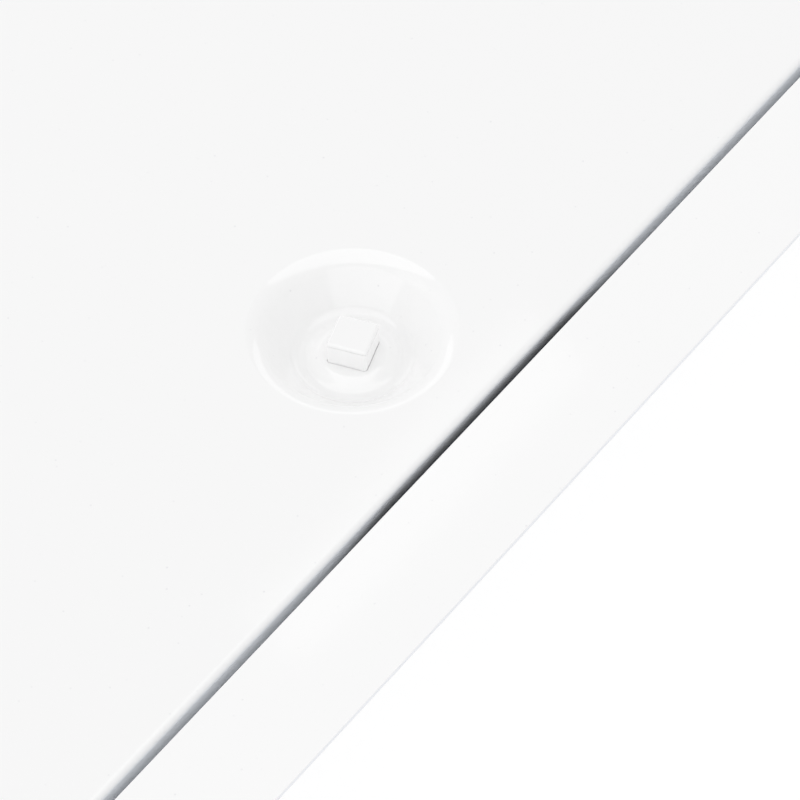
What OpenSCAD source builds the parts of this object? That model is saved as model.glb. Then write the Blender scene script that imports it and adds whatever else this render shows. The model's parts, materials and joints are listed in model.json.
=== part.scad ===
// Ceiling access panel: a folded steel frame, a flush hinged door and a latch turned by a square key.
// The panel lies on its back with its face up. X runs along the lock edge, Y runs from the lock
// edge to the hinge edge, and Z points out of the ceiling. The origin is the middle of the frame's back.

/* [Ceiling cut-out] */
// Width of the hole in the ceiling, along the lock edge
cutout_w = 300; // [260:5:600]
// Length of the hole in the ceiling, from the lock edge to the hinge edge
cutout_l = 300; // [260:5:600]
// Gap between the frame walls and the edge of the hole, on each side
cutout_gap = 2; // [2:0.5:4]

/* [Frame] */
// Thickness of the folded sheet of the frame and the door
sheet = 1; // [0.8:0.1:1.2]
// Width of the face that shows around the door
flange_w = 20; // [15:1:40]
// Depth of the frame from its face to its back
frame_depth = 36; // [34:1:60]
// Inner radius of the frame's folds
frame_fold_r = 0.2; // [0.2:0.1:0.8]
// Width of the stiffening lip around the back
lip_w = 8; // [5:1:15]
// Diameter of the screw holes through the frame walls
fixing_d = 4.5; // [3.5:0.5:6]
// Distance from a screw hole to the nearest inside corner of the frame
fixing_inset = 57; // [45:1:80]
// Height of the screw holes above the back of the frame
fixing_z = 7; // [6:0.5:8]

/* [Corner brackets] */
// Thickness of the corner brackets
corner_t = 1.5; // [1:0.1:2]
// Length of each leg of a corner bracket
corner_leg = 26; // [22:1:35]
// Diameter of the rivets
rivet_d = 3.2; // [2.4:0.1:4]
// Distance between the two rivets of one leg
rivet_pitch = 10; // [8:1:12]
// Distance from the end of a leg to its nearest rivet
rivet_edge = 5; // [4:0.5:6]
// Diameter of a rivet's head
rivet_head_d = 6; // [5:0.1:6.5]
// Height of a rivet's head
rivet_head_t = 1.1; // [0.6:0.1:1.5]
// Diameter of the upset tail of a rivet
rivet_tail_d = 4.8; // [4.4:0.1:6]
// Height of the upset tail of a rivet
rivet_tail_t = 1; // [0.6:0.1:1.5]

/* [Door] */
// Gap between the door's edge and the frame
door_gap = 1.8; // [1.8:0.1:3]
// Depth of the door's folded edge
door_fold = 10; // [10:0.5:12]
// Outer radius of the door's folded edge
door_edge_r = 1.2; // [1.2:0.1:2.5]
// Radius of the door's corners, seen from the front
door_corner_r = 4; // [4:0.5:8]
// Distance from the ends of the stiffener to the door's edges
stiffener_inset = 46; // [20:1:80]
// Width of the stiffener's crown
stiffener_crown = 18; // [12:1:30]
// Height of the stiffener
stiffener_h = 8; // [5:0.5:9]
// Width of each foot of the stiffener
stiffener_foot = 10; // [6:1:15]
// Sideways lean of the stiffener's webs
stiffener_lean = 3; // [2:0.5:6]

/* [Door stop and seal] */
// Width of the ledge that the door closes on
stop_w = 10; // [9:0.5:12]
// Height of the leg that holds the ledge to the frame wall
stop_leg = 10; // [6:0.5:11]
// Thickness of the foam seal on the ledge
seal_t = 3; // [2:0.5:4]
// Width of the foam seal
seal_w = 8; // [5:0.5:8.5]
// Thickness of the foam buffer on the frame wall beside the lock
buffer_t = 0.8; // [0.5:0.1:0.8]
// Length of the buffer along its foot
buffer_len = 170; // [120:5:190]
// Length of the buffer along its top
buffer_top = 50; // [30:5:80]

/* [Lock dish] */
// Distance from the frame's inner edge to the middle of the lock
lock_setback = 27.5; // [25:0.5:45]
// Diameter of the pressed dish around the lock
dish_d = 36; // [34:0.5:44]
// Depth of the dish
dish_depth = 6.7; // [5:0.1:7]
// Radius of the dish's crisp rim, at the face
dish_rim_r = 1.2; // [1.2:0.1:2]
// Slope of the dish just inside its rim, in degrees
dish_lead = 12; // [5:1:15]
// Radius of the shoulder between the rim and the dish's wall
dish_shoulder_r = 6; // [3:0.5:6]
// Radius of the hollow where the dish's wall meets its floor
dish_foot_r = 2.5; // [1:0.5:3]

/* [Key stud and spindle] */
// Width across the flats of the key stud
stud_w = 7; // [6:0.5:7.5]
// Radius of the stud's upright edges
stud_edge_r = 0.5; // [0.2:0.1:1]
// Chamfer around the stud's end
stud_chamfer = 0.35; // [0.1:0.05:0.8]
// Depth of the stud's end below the door's face
stud_recess = 0.9; // [0:0.1:2]
// Angle of the stud at rest, from the lock edge
stud_angle = 18.5; // [0:0.5:25]
// Diameter of the round head under the stud
head_d = 16.6; // [14:0.1:17]
// Thickness of the round head
head_t = 1.1; // [0.8:0.1:1.5]
// Diameter of the spindle's round shank
shank_d = 10; // [9.5:0.5:11]
// Diameter of the spindle's threaded end
thread_d = 6; // [5:0.5:6]
// Length of thread that stands out of the nut
thread_end = 1.5; // [0.5:0.5:4]

/* [Lock bush and latch] */
// Wall of the bush's spigot, in the hole of the dish
spigot_wall = 1; // [0.8:0.1:1.5]
// Step from the spigot out to the bush's barrel
barrel_step = 1.5; // [1:0.1:2]
// Step from the spigot out to the edge of the bush's flange
flange_step = 3; // [2.5:0.1:4]
// Thickness of the bush's flange
bush_flange_t = 1.5; // [1:0.1:2]
// Height of the dished spring washer
spring_washer_h = 1.4; // [1:0.1:2]
// Thickness of the dished spring washer
spring_washer_t = 0.5; // [0.3:0.1:0.6]
// Thickness of the latch cam
cam_t = 2.5; // [2:0.1:3.5]
// Width of the latch cam
cam_w = 14; // [12:0.5:15]
// Diameter of the cam's boss around the spindle
cam_boss_d = 18; // [16:0.5:20]
// Radius of the corners of the cam's tip
cam_tip_r = 2; // [1:0.5:4]
// Clearance between the cam's tip and the leg of the stop
cam_tip_gap = 1.5; // [1.2:0.1:3]
// Clearance between the cam and the ledge above it
latch_gap = 0.3; // [0.2:0.1:1]
// Diameter of the split washer
split_washer_d = 11; // [10:0.5:12]
// Thickness of the split washer
split_washer_t = 1.5; // [1:0.1:2]
// Gap in the split washer
split_w = 1; // [0.5:0.1:2]
// Width across the flats of the nut
nut_flats = 10; // [9:0.5:11]
// Thickness of the nut
nut_t = 5; // [4:0.5:6]

/* [Hinge] */
// Distance from the door's hinge edge to the pivot
hinge_inset = 14; // [13:0.5:16]
// Depth of the pivot behind the door's face
hinge_drop = 6; // [5.5:0.1:6.2]
// Diameter of the hinge pins
pin_d = 4; // [3.5:0.1:4.4]
// Travel of a hinge pin when it is pulled
pin_travel = 6; // [4:0.5:8]
// Length of the taper at a pin's nose
pin_nose = 0.8; // [0.4:0.1:1.2]
// Length of pin between the inner ear and the bend, when the pin is pulled
pin_tail = 3; // [2:0.5:6]
// Radius of the bend in a pin, at its middle
pin_bend_r = 5; // [4:0.5:8]
// Length of the straight arm that the pin is pulled by
pin_arm = 11; // [8:0.5:20]
// Depth of the groove for the pin's clip
groove_depth = 0.4; // [0.2:0.1:0.6]
// Thickness of the pin's clip
clip_t = 0.8; // [0.5:0.1:1.2]
// Wall of the pivot bush in the frame
pivot_wall = 1.5; // [1:0.1:1.6]
// Width of the pivot bush's collar, on the inner face of the frame wall
collar_w = 1; // [0.5:0.1:1]
// Length of the pivot bush's tail, outside the frame wall
pivot_tail = 1; // [0.6:0.1:1.4]
// Wall of the pivot bush's tail, thin enough to stay clear of the board under the flange
pivot_tail_wall = 0.8; // [0.6:0.1:0.8]
// Length of a hinge bracket
bracket_len = 40; // [34:1:60]
// Width of a hinge bracket
bracket_w = 14; // [12:0.5:18]
// Thickness of a hinge bracket
bracket_t = 1.2; // [1:0.1:1.4]
// Depth of the bracket's ears below the pivot
ear_below = 5; // [4:0.5:7]
// Wire diameter of the hinge springs
spring_wire = 0.6; // [0.4:0.1:0.8]
// Number of turns of a hinge spring
spring_turns = 10; // [6:1:14]

/* [Hidden] */
$fn = 64;

// Colours of the finishes
white_paint = [0.96, 0.96, 0.965];
zinc = [0.72, 0.74, 0.76];
spring_steel = [0.45, 0.46, 0.48];
black_foam = [0.12, 0.12, 0.13];
grey_nylon = [0.80, 0.80, 0.78];

// Clearance of a part that slides or turns in another
slip = 0.1;
// Clearance of the foam and of the clips from what passes them
soft_gap = 0.3;
// Clearance of a fixed part beside its neighbour
part_gap = 0.5;
// Overlap that joins the shapes of one solid, and the length by which a cutter passes a face
join = 1;
// Steps along the arc of a fold
fold_steps = 8;

// Clear size between the frame walls, and the door in it
inner_w = cutout_w - 2 * cutout_gap - 2 * sheet;
inner_l = cutout_l - 2 * cutout_gap - 2 * sheet;
door_w = inner_w - 2 * door_gap;
door_l = inner_l - 2 * door_gap;

// Heights above the back of the frame
face = frame_depth;
door_back = face - sheet;
ledge_top = face - door_fold - soft_gap - seal_t;
ledge_under = ledge_top - sheet;
stop_foot = ledge_top - stop_leg;
corner_foot = 2 * sheet + frame_fold_r;
corner_top = stop_foot - part_gap;
rivet_z = (corner_foot + corner_top) / 2;
dish_floor = face - dish_depth;
bush_seat = dish_floor - sheet;
head_foot = dish_floor + slip;
head_top = head_foot + head_t;
stud_top = face - stud_recess;
cam_top = ledge_under - latch_gap;
cam_foot = cam_top - cam_t;
bush_foot = cam_top + spring_washer_h;
washer_foot = cam_foot - split_washer_t;
nut_foot = washer_foot - nut_t;
thread_foot = nut_foot - thread_end;

// Places of the rivets from the inside corner, along one leg of a bracket
rivet_places = [corner_leg - rivet_edge - rivet_pitch, corner_leg - rivet_edge];

// The dish: its flat floor takes the round head, and its wall's slope is the one that meets its bends
dish_rim_mid_r = dish_rim_r - sheet / 2;
dish_shoulder_mid_r = dish_shoulder_r - sheet / 2;
dish_foot_mid_r = dish_foot_r + sheet / 2;
dish_flat_r = head_d / 2 + part_gap;
dish_step_r = dish_shoulder_mid_r - dish_rim_mid_r;
dish_run = dish_d / 2 - dish_flat_r + dish_step_r * sin(dish_lead);
dish_drop = dish_depth - dish_rim_mid_r - dish_step_r * cos(dish_lead) - dish_foot_mid_r;
dish_bends = dish_shoulder_mid_r + dish_foot_mid_r;
dish_slope = atan2(dish_drop, dish_run) + asin(dish_bends / norm([dish_run, dish_drop]));

// Lock line and the sizes around it
lock_y = -inner_l / 2 + lock_setback;
bush_bore_d = shank_d + 2 * slip;
lock_hole_d = bush_bore_d + 2 * spigot_wall + slip;
barrel_d = lock_hole_d + 2 * barrel_step;
cam_reach = lock_setback - sheet - cam_tip_gap;

// Pivot line of the door, and the hinge parts along X from the middle of the panel
hinge_y = door_l / 2 - hinge_inset;
hinge_z = face - hinge_drop;
pivot_d = pin_d + 2 * slip;
pivot_outer_d = pivot_d + 2 * pivot_wall;
pivot_nose = door_gap / 2;
fold_inner_x = door_w / 2 - sheet;
ear_inner_x = fold_inner_x - bracket_len;
pin_tip_x = inner_w / 2 + sheet + pivot_tail;
pin_bend_x = ear_inner_x - pin_travel - pin_tail;
groove_d = pin_d - 2 * groove_depth;
clip_d = 2 * (hinge_drop - sheet - bracket_t - soft_gap);
clip_x = fold_inner_x - bracket_t - slip - clip_t;
spring_r = pin_d / 2 + soft_gap + spring_wire / 2;
spring_x0 = ear_inner_x + bracket_t + slip;
spring_x1 = clip_x - slip;
spring_sides = 8;
spring_steps = 16;

// The stops beside the door end short of the door's edge that swings down behind the pivot
side_stop_y0 = -inner_l / 2 + stop_w + part_gap;
side_stop_y1 = hinge_y - hinge_inset;
side_stop_len = side_stop_y1 - side_stop_y0;
side_stop_y = (side_stop_y0 + side_stop_y1) / 2;

// Unit vector along v
function unit(v) = v / norm(v);
// v turned a quarter turn to the left
function left_of(v) = [-v.y, v.x];
// v turned by an angle
function turned(v, a) = [v.x * cos(a) - v.y * sin(a), v.x * sin(a) + v.y * cos(a)];
// Signed angle from direction u to direction v
function turn_angle(u, v) = atan2(u.x * v.y - u.y * v.x, u.x * v.x + u.y * v.y);
// The points of a list, last first
function reversed(points) = [for (i = [len(points) - 1 : -1 : 0]) points[i]];

// One side of a bend at b, at a distance off to the left of the sheet's middle line of radius r
function bend_side(a, b, c, r, off) =
    let (
        u = unit(b - a),
        phi = turn_angle(u, unit(c - b)),
        s = sign(phi),
        centre = b - u * r * tan(abs(phi) / 2) + s * r * left_of(u)
    )
    [for (i = [0 : fold_steps]) centre - (r - s * off) * s * turned(left_of(u), phi * i / fold_steps)];

// One side of a strip of sheet whose middle line follows a path, with one radius for each bend
function strip_side(path, radii, off) =
    let (n = len(path) - 1)
    concat(
        [path[0] + off * left_of(unit(path[1] - path[0]))],
        [for (i = [1 : n - 1]) each bend_side(path[i - 1], path[i], path[i + 1], radii[i - 1], off)],
        [path[n] + off * left_of(unit(path[n] - path[n - 1]))]
    );

// Section of a folded sheet of thickness t, whose middle line follows a path and bends at the radii
module folded_section(path, t, radii) {
    polygon(concat(strip_side(path, radii, t / 2), reversed(strip_side(path, radii, -t / 2))));
}

// A section drawn outwards and upwards, run along X beside the lock edge
module run_along_x(length) {
    rotate([90, 0, -90])
        linear_extrude(length, center = true)
            children();
}

// A section drawn in X and Z, run along Y
module run_along_y(length) {
    rotate([90, 0, 0])
        linear_extrude(length, center = true)
            children();
}

// A cylinder along X that starts at the origin
module rod_x(d, h) {
    rotate([0, 90, 0])
        cylinder(d = d, h = h);
}

// A cylinder along Y that ends at the origin
module rod_y(d, h) {
    rotate([90, 0, 0])
        cylinder(d = d, h = h);
}

// A rectangle with round corners, about the origin
module round_rectangle(w, l, r) {
    square([w - 2 * r, l], center = true);
    square([w, l - 2 * r], center = true);
    for (sx = [-1, 1], sy = [-1, 1])
        translate([sx * (w / 2 - r), sy * (l / 2 - r)])
            circle(r);
}

// Its shapes, and their mirror images in both middle lines of the panel
module in_four_corners() {
    for (mx = [0, 1], my = [0, 1])
        mirror([mx, 0, 0])
            mirror([0, my, 0])
                children();
}

// Section of a frame rail, measured outwards from the inner face of its wall, with a crisp edge at the door
module rail_section() {
    mid = sheet / 2;
    fold = frame_fold_r + mid;
    path = [[flange_w, face - mid], [mid, face - mid], [mid, mid], [-lip_w, mid]];
    under = strip_side(path, [fold, fold], mid);
    upper = strip_side(path, [fold, fold], -mid);
    past_edge = [for (i = [fold_steps + 2 : len(upper) - 1]) upper[i]];
    polygon(concat(under, reversed(concat([upper[0], [0, face]], past_edge))));
}

// Plan of a rail with ends cut at 45 degrees, for a wall of length run at a distance reach from the middle
module mitre_plan(run, reach) {
    inside = lip_w + join;
    polygon([
        [-run / 2 - flange_w, -reach - flange_w],
        [run / 2 + flange_w, -reach - flange_w],
        [run / 2 - inside, -reach + inside],
        [-run / 2 + inside, -reach + inside]
    ]);
}

// A rail of the frame on the lock side, for a wall of length run at a distance reach from the middle
module rail(run, reach) {
    difference() {
        intersection() {
            translate([0, -reach, 0])
                run_along_x(run + 2 * flange_w)
                    rail_section();
            linear_extrude(face)
                mitre_plan(run, reach);
        }
        for (s = [-1, 1]) {
            translate([s * (run / 2 - fixing_inset), -reach + join, fixing_z])
                rod_y(fixing_d, sheet + 2 * join);
            for (d = rivet_places)
                translate([s * (run / 2 - d), -reach + join, rivet_z])
                    rod_y(rivet_d + slip, sheet + 2 * join);
        }
    }
}

// A rail beside the door, with the seat of the pivot bush
module side_rail() {
    difference() {
        rotate([0, 0, 90])
            rail(inner_l, inner_w / 2);
        translate([inner_w / 2 - join, hinge_y, hinge_z])
            rod_x(pivot_outer_d + slip, sheet + 2 * join);
    }
}

module frame_rail_lock() {
    color(white_paint)
        rail(inner_w, inner_l / 2);
}

module frame_rail_hinge() {
    color(white_paint)
        rotate([0, 0, 180])
            rail(inner_w, inner_l / 2);
}

module frame_rail_right() {
    color(white_paint)
        side_rail();
}

module frame_rail_left() {
    color(white_paint)
        mirror([1, 0, 0])
            side_rail();
}

// An angle bracket in one inside corner of the frame, with its rivet holes
module corner_bracket() {
    x = inner_w / 2;
    y = -inner_l / 2;
    mid = corner_t / 2;
    color(zinc)
        difference() {
            translate([0, 0, corner_foot])
                linear_extrude(corner_top - corner_foot)
                    folded_section(
                        [[x - corner_leg, y + mid], [x - mid, y + mid], [x - mid, y + corner_leg]],
                        corner_t,
                        [corner_t]
                    );
            for (d = rivet_places) {
                translate([x - d, y + corner_t + join, rivet_z])
                    rod_y(rivet_d + slip, corner_t + 2 * join);
                translate([x - corner_t - join, y + d, rivet_z])
                    rod_x(rivet_d + slip, corner_t + 2 * join);
            }
        }
}

module corner_bracket_lock_right() {
    corner_bracket();
}

module corner_bracket_lock_left() {
    mirror([1, 0, 0])
        corner_bracket();
}

module corner_bracket_hinge_right() {
    mirror([0, 1, 0])
        corner_bracket();
}

module corner_bracket_hinge_left() {
    rotate([0, 0, 180])
        corner_bracket();
}

// A rivet along Z: its head lies on the bracket, and its tail is upset on the outside of the wall
module rivet() {
    grip = corner_t + sheet;
    translate([0, 0, -grip - rivet_tail_t])
        cylinder(d = rivet_tail_d, h = rivet_tail_t);
    translate([0, 0, -grip - rivet_tail_t])
        cylinder(d = rivet_d, h = grip + rivet_tail_t + rivet_head_t);
    cylinder(d1 = rivet_head_d, d2 = rivet_d, h = rivet_head_t);
}

module corner_rivets() {
    x = inner_w / 2;
    y = -inner_l / 2;
    color(zinc)
        in_four_corners()
            for (d = rivet_places) {
                translate([x - d, y + corner_t, rivet_z])
                    rotate([-90, 0, 0])
                        rivet();
                translate([x - corner_t, y + d, rivet_z])
                    rotate([0, -90, 0])
                        rivet();
            }
}

// Section of the angle that stops the door, measured outwards from the frame wall
module stop_section() {
    mid = sheet / 2;
    folded_section(
        [[-stop_w, ledge_top - mid], [-mid, ledge_top - mid], [-mid, stop_foot]],
        sheet,
        [frame_fold_r + mid]
    );
}

module stop_angle_lock() {
    color(white_paint)
        translate([0, -inner_l / 2, 0])
            run_along_x(inner_w - 2 * part_gap)
                stop_section();
}

module stop_angle_right() {
    color(white_paint)
        translate([inner_w / 2, side_stop_y, 0])
            run_along_y(side_stop_len)
                stop_section();
}

module stop_angle_left() {
    mirror([1, 0, 0])
        stop_angle_right();
}

// Section of the foam strip on the ledge, under the edge of the door's fold
module seal_section() {
    translate([-seal_w - part_gap, ledge_top])
        square([seal_w, seal_t]);
}

module seal_strip_lock() {
    color(black_foam)
        translate([0, -inner_l / 2, 0])
            run_along_x(inner_w - 2 * part_gap)
                seal_section();
}

module seal_strip_right() {
    color(black_foam)
        translate([inner_w / 2, side_stop_y, 0])
            run_along_y(side_stop_len)
                seal_section();
}

module seal_strip_left() {
    mirror([1, 0, 0])
        seal_strip_right();
}

// A tapered foam buffer on the lock wall, in the gap beside the door
module edge_buffer() {
    foot = ledge_top + seal_t + soft_gap;
    top = face - frame_fold_r - sheet - soft_gap;
    color(black_foam)
        translate([0, -inner_l / 2 + buffer_t, 0])
            rotate([90, 0, 0])
                linear_extrude(buffer_t)
                    polygon([
                        [-buffer_len / 2, foot], [buffer_len / 2, foot],
                        [buffer_top / 2, top], [-buffer_top / 2, top]
                    ]);
}

// A bush in the frame wall, in which a hinge pin turns, with its collar on the inner face of the wall
module pivot_bush_right() {
    color(grey_nylon)
        translate([inner_w / 2, hinge_y, hinge_z])
            difference() {
                union() {
                    translate([-pivot_nose, 0, 0])
                        rod_x(pivot_outer_d + 2 * collar_w, pivot_nose);
                    translate([-pivot_nose, 0, 0])
                        rod_x(pivot_outer_d, pivot_nose + sheet);
                    translate([-pivot_nose, 0, 0])
                        rod_x(pivot_d + 2 * pivot_tail_wall, pivot_nose + sheet + pivot_tail);
                }
                translate([-pivot_nose - join, 0, 0])
                    rod_x(pivot_d, pivot_nose + sheet + pivot_tail + 2 * join);
            }
}

module pivot_bush_left() {
    mirror([1, 0, 0])
        pivot_bush_right();
}

// Section of the door's edge, measured outwards from the flat skin and down from the face
module door_edge_section() {
    mid = sheet / 2;
    out = door_edge_r - mid;
    folded_section([[-join, -mid], [out, -mid], [out, -door_fold]], sheet, [out]);
}

// The round dish pressed into the skin, about its own axis with the face at z 0
module dish() {
    mid = sheet / 2;
    rim_tangent = dish_rim_mid_r * tan(dish_lead / 2);
    lead = rim_tangent + dish_shoulder_mid_r * tan((dish_slope - dish_lead) / 2);
    rim_x = dish_d / 2 - rim_tangent;
    rotate_extrude()
        folded_section(
            [
                [dish_d / 2 + join, -mid],
                [rim_x, -mid],
                [rim_x - lead * cos(dish_lead), -mid - lead * sin(dish_lead)],
                [dish_flat_r + dish_foot_mid_r * tan(dish_slope / 2), -dish_depth - mid],
                [lock_hole_d / 2, -dish_depth - mid]
            ],
            sheet,
            [dish_rim_mid_r, dish_shoulder_mid_r, dish_foot_mid_r]
        );
}

// The skin: a flat sheet with folded edges, round corners, the lock dish and the pivot holes
module door_panel() {
    flat_w = door_w - 2 * door_edge_r;
    flat_l = door_l - 2 * door_edge_r;
    color(white_paint)
        difference() {
            union() {
                translate([0, 0, door_back])
                    linear_extrude(sheet)
                        difference() {
                            round_rectangle(flat_w, flat_l, door_corner_r - door_edge_r);
                            translate([0, lock_y])
                                circle(d = dish_d);
                        }
                for (a = [0, 180])
                    rotate([0, 0, a]) {
                        translate([0, -flat_l / 2, face])
                            run_along_x(door_w - 2 * door_corner_r)
                                door_edge_section();
                        translate([flat_w / 2, 0, face])
                            run_along_y(door_l - 2 * door_corner_r)
                                door_edge_section();
                    }
                in_four_corners()
                    translate([door_w / 2 - door_corner_r, door_l / 2 - door_corner_r, face])
                        rotate_extrude(angle = 90)
                            translate([door_corner_r - door_edge_r, 0])
                                door_edge_section();
                translate([0, lock_y, face])
                    dish();
            }
            translate([-door_w / 2 - join, hinge_y, hinge_z])
                rod_x(pivot_d, door_w + 2 * join);
        }
}

// A hat section across the middle of the door's back
module door_stiffener() {
    foot_z = door_back - sheet / 2;
    crown_z = door_back - stiffener_h + sheet / 2;
    crown = stiffener_crown / 2;
    web = crown + stiffener_lean;
    edge = web + stiffener_foot;
    color(white_paint)
        run_along_x(door_w - 2 * stiffener_inset)
            folded_section(
                [
                    [-edge, foot_z], [-web, foot_z], [-crown, crown_z],
                    [crown, crown_z], [web, foot_z], [edge, foot_z]
                ],
                sheet,
                [sheet, sheet, sheet, sheet]
            );
}

// A bracket on the door's back with two ears that guide a hinge pin
module hinge_bracket_right() {
    mid = bracket_t / 2;
    x0 = ear_inner_x + mid;
    x1 = fold_inner_x - mid;
    foot_z = hinge_z - ear_below;
    base_z = door_back - mid;
    color(zinc)
        difference() {
            translate([0, hinge_y, 0])
                run_along_y(bracket_w)
                    folded_section(
                        [[x0, foot_z], [x0, base_z], [x1, base_z], [x1, foot_z]],
                        bracket_t,
                        [bracket_t, bracket_t]
                    );
            translate([ear_inner_x - join, hinge_y, hinge_z])
                rod_x(pivot_d, bracket_len + 2 * join);
        }
}

module hinge_bracket_left() {
    mirror([1, 0, 0])
        hinge_bracket_right();
}

// A sprung pin with a tapered nose, a groove for its clip and an arm to pull it by
module hinge_pin_right() {
    arm_x = pin_bend_x - pin_bend_r;
    color(zinc)
        translate([0, hinge_y, hinge_z]) {
            difference() {
                union() {
                    translate([pin_bend_x, 0, 0])
                        rod_x(pin_d, pin_tip_x - pin_nose - pin_bend_x);
                    translate([pin_tip_x - pin_nose, 0, 0])
                        rotate([0, 90, 0])
                            cylinder(d1 = pin_d, d2 = pin_d - 2 * pin_nose, h = pin_nose);
                }
                translate([clip_x - slip / 2, 0, 0])
                    difference() {
                        rod_x(pin_d + join, clip_t + slip);
                        translate([-join, 0, 0])
                            rod_x(groove_d, clip_t + 2 * join);
                    }
            }
            translate([pin_bend_x, -pin_bend_r, 0])
                rotate([0, 0, 90])
                    rotate_extrude(angle = 90)
                        translate([pin_bend_r, 0])
                            circle(d = pin_d);
            translate([arm_x, -pin_bend_r, 0])
                rod_y(pin_d, pin_arm);
            translate([arm_x, -pin_bend_r - pin_arm, 0])
                sphere(d = pin_d);
        }
}

module hinge_pin_left() {
    mirror([1, 0, 0])
        hinge_pin_right();
}

// An open ring in the pin's groove, on which the spring presses
module pin_clip_right() {
    mouth = groove_d - 2 * slip;
    color(spring_steel)
        translate([clip_x, hinge_y, hinge_z])
            difference() {
                rod_x(clip_d, clip_t);
                translate([-join, 0, 0])
                    rod_x(groove_d + slip, clip_t + 2 * join);
                translate([-join, -mouth / 2, -clip_d])
                    cube([clip_t + 2 * join, mouth, clip_d]);
            }
}

module pin_clip_left() {
    mirror([1, 0, 0])
        pin_clip_right();
}

// A coil spring around the pin, as one tube swept along a helix on X
module hinge_spring_right() {
    rings = spring_turns * spring_steps;
    wire_r = spring_wire / 2;
    rise = (spring_x1 - spring_x0 - spring_wire) / rings;
    points = [
        for (i = [0 : rings], k = [0 : spring_sides - 1])
            let (
                turn = 360 * i / spring_steps,
                around = 360 * k / spring_sides,
                r = spring_r + wire_r * cos(around)
            )
            [
                spring_x0 + wire_r + rise * i + wire_r * sin(around),
                hinge_y + r * cos(turn),
                hinge_z + r * sin(turn)
            ]
    ];
    walls = [
        for (i = [0 : rings - 1], k = [0 : spring_sides - 1])
            let (
                a = i * spring_sides + k,
                b = i * spring_sides + (k + 1) % spring_sides
            )
            each [[a, b, b + spring_sides], [a, b + spring_sides, a + spring_sides]]
    ];
    first = reversed([for (k = [0 : spring_sides - 1]) k]);
    last = [for (k = [0 : spring_sides - 1]) rings * spring_sides + k];
    color(spring_steel)
        polyhedron(points, concat(walls, [first, last]));
}

module hinge_spring_left() {
    mirror([1, 0, 0])
        hinge_spring_right();
}

// A flanged bush behind the dish, with a spigot in the dish's hole, in which the spindle turns
module lock_bush() {
    color(grey_nylon)
        translate([0, lock_y, 0])
            difference() {
                union() {
                    translate([0, 0, bush_foot])
                        cylinder(d = barrel_d, h = bush_seat - bush_foot);
                    translate([0, 0, bush_seat - bush_flange_t])
                        cylinder(d = lock_hole_d + 2 * flange_step, h = bush_flange_t);
                    translate([0, 0, bush_foot])
                        cylinder(d = lock_hole_d - slip, h = dish_floor - bush_foot);
                }
                translate([0, 0, bush_foot - join])
                    cylinder(d = bush_bore_d, h = dish_floor - bush_foot + 2 * join);
            }
}

// The square key stud with its top edges chamfered, standing on the round head
module key_stud() {
    h = stud_top - head_top + head_t / 2;
    translate([0, 0, stud_top - h])
        difference() {
            linear_extrude(h)
                round_rectangle(stud_w, stud_w, stud_edge_r);
            for (a = [0 : 90 : 270])
                rotate([0, 0, a])
                    translate([stud_w / 2 - stud_chamfer, 0, h])
                        rotate([0, 45, 0])
                            translate([0, -stud_w, 0])
                                cube([stud_w, 2 * stud_w, stud_w]);
        }
}

// The spindle: key stud, round head, shank, square seat of the cam and threaded end
module lock_spindle() {
    color(white_paint)
        translate([0, lock_y, 0])
            rotate([0, 0, stud_angle]) {
                key_stud();
                translate([0, 0, head_foot])
                    cylinder(d = head_d, h = head_t);
                translate([0, 0, cam_top])
                    cylinder(d = shank_d, h = head_foot - cam_top + head_t / 2);
                translate([0, 0, cam_foot + slip])
                    linear_extrude(cam_t)
                        round_rectangle(stud_w, stud_w, stud_edge_r);
                translate([0, 0, thread_foot])
                    cylinder(d = thread_d, h = cam_top - thread_foot);
            }
}

// A dished spring washer that presses the cam away from the bush
module spring_washer() {
    inner = bush_bore_d / 2;
    outer = barrel_d / 2;
    rise = spring_washer_h - spring_washer_t - 2 * slip;
    color(spring_steel)
        translate([0, lock_y, cam_top + slip])
            rotate_extrude()
                polygon([
                    [inner, rise],
                    [outer, 0],
                    [outer, spring_washer_t],
                    [inner, rise + spring_washer_t]
                ]);
}

// The latch plate, which turns under the ledge of the lock stop
module latch_cam() {
    hole = stud_w + 2 * slip;
    color(zinc)
        translate([0, lock_y, cam_foot])
            rotate([0, 0, 180 + stud_angle])
                linear_extrude(cam_t - slip)
                    difference() {
                        union() {
                            circle(d = cam_boss_d);
                            translate([cam_reach / 2, 0])
                                round_rectangle(cam_reach, cam_w, cam_tip_r);
                        }
                        round_rectangle(hole, hole, stud_edge_r);
                    }
}

// A split spring washer under the nut
module split_washer() {
    color(spring_steel)
        translate([0, lock_y, washer_foot])
            rotate([0, 0, stud_angle])
                difference() {
                    cylinder(d = split_washer_d, h = split_washer_t);
                    translate([0, 0, -join])
                        cylinder(d = thread_d + 2 * slip, h = split_washer_t + 2 * join);
                    translate([0, -split_w / 2, -join])
                        cube([split_washer_d, split_w, split_washer_t + 2 * join]);
                }
}

// The hexagon nut that holds the cam on the spindle
module cam_nut() {
    color(zinc)
        translate([0, lock_y, nut_foot])
            rotate([0, 0, stud_angle])
                difference() {
                    cylinder(d = nut_flats / cos(30), h = nut_t, $fn = 6);
                    translate([0, 0, -join])
                        cylinder(d = thread_d + slip, h = nut_t + 2 * join);
                }
}

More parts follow.
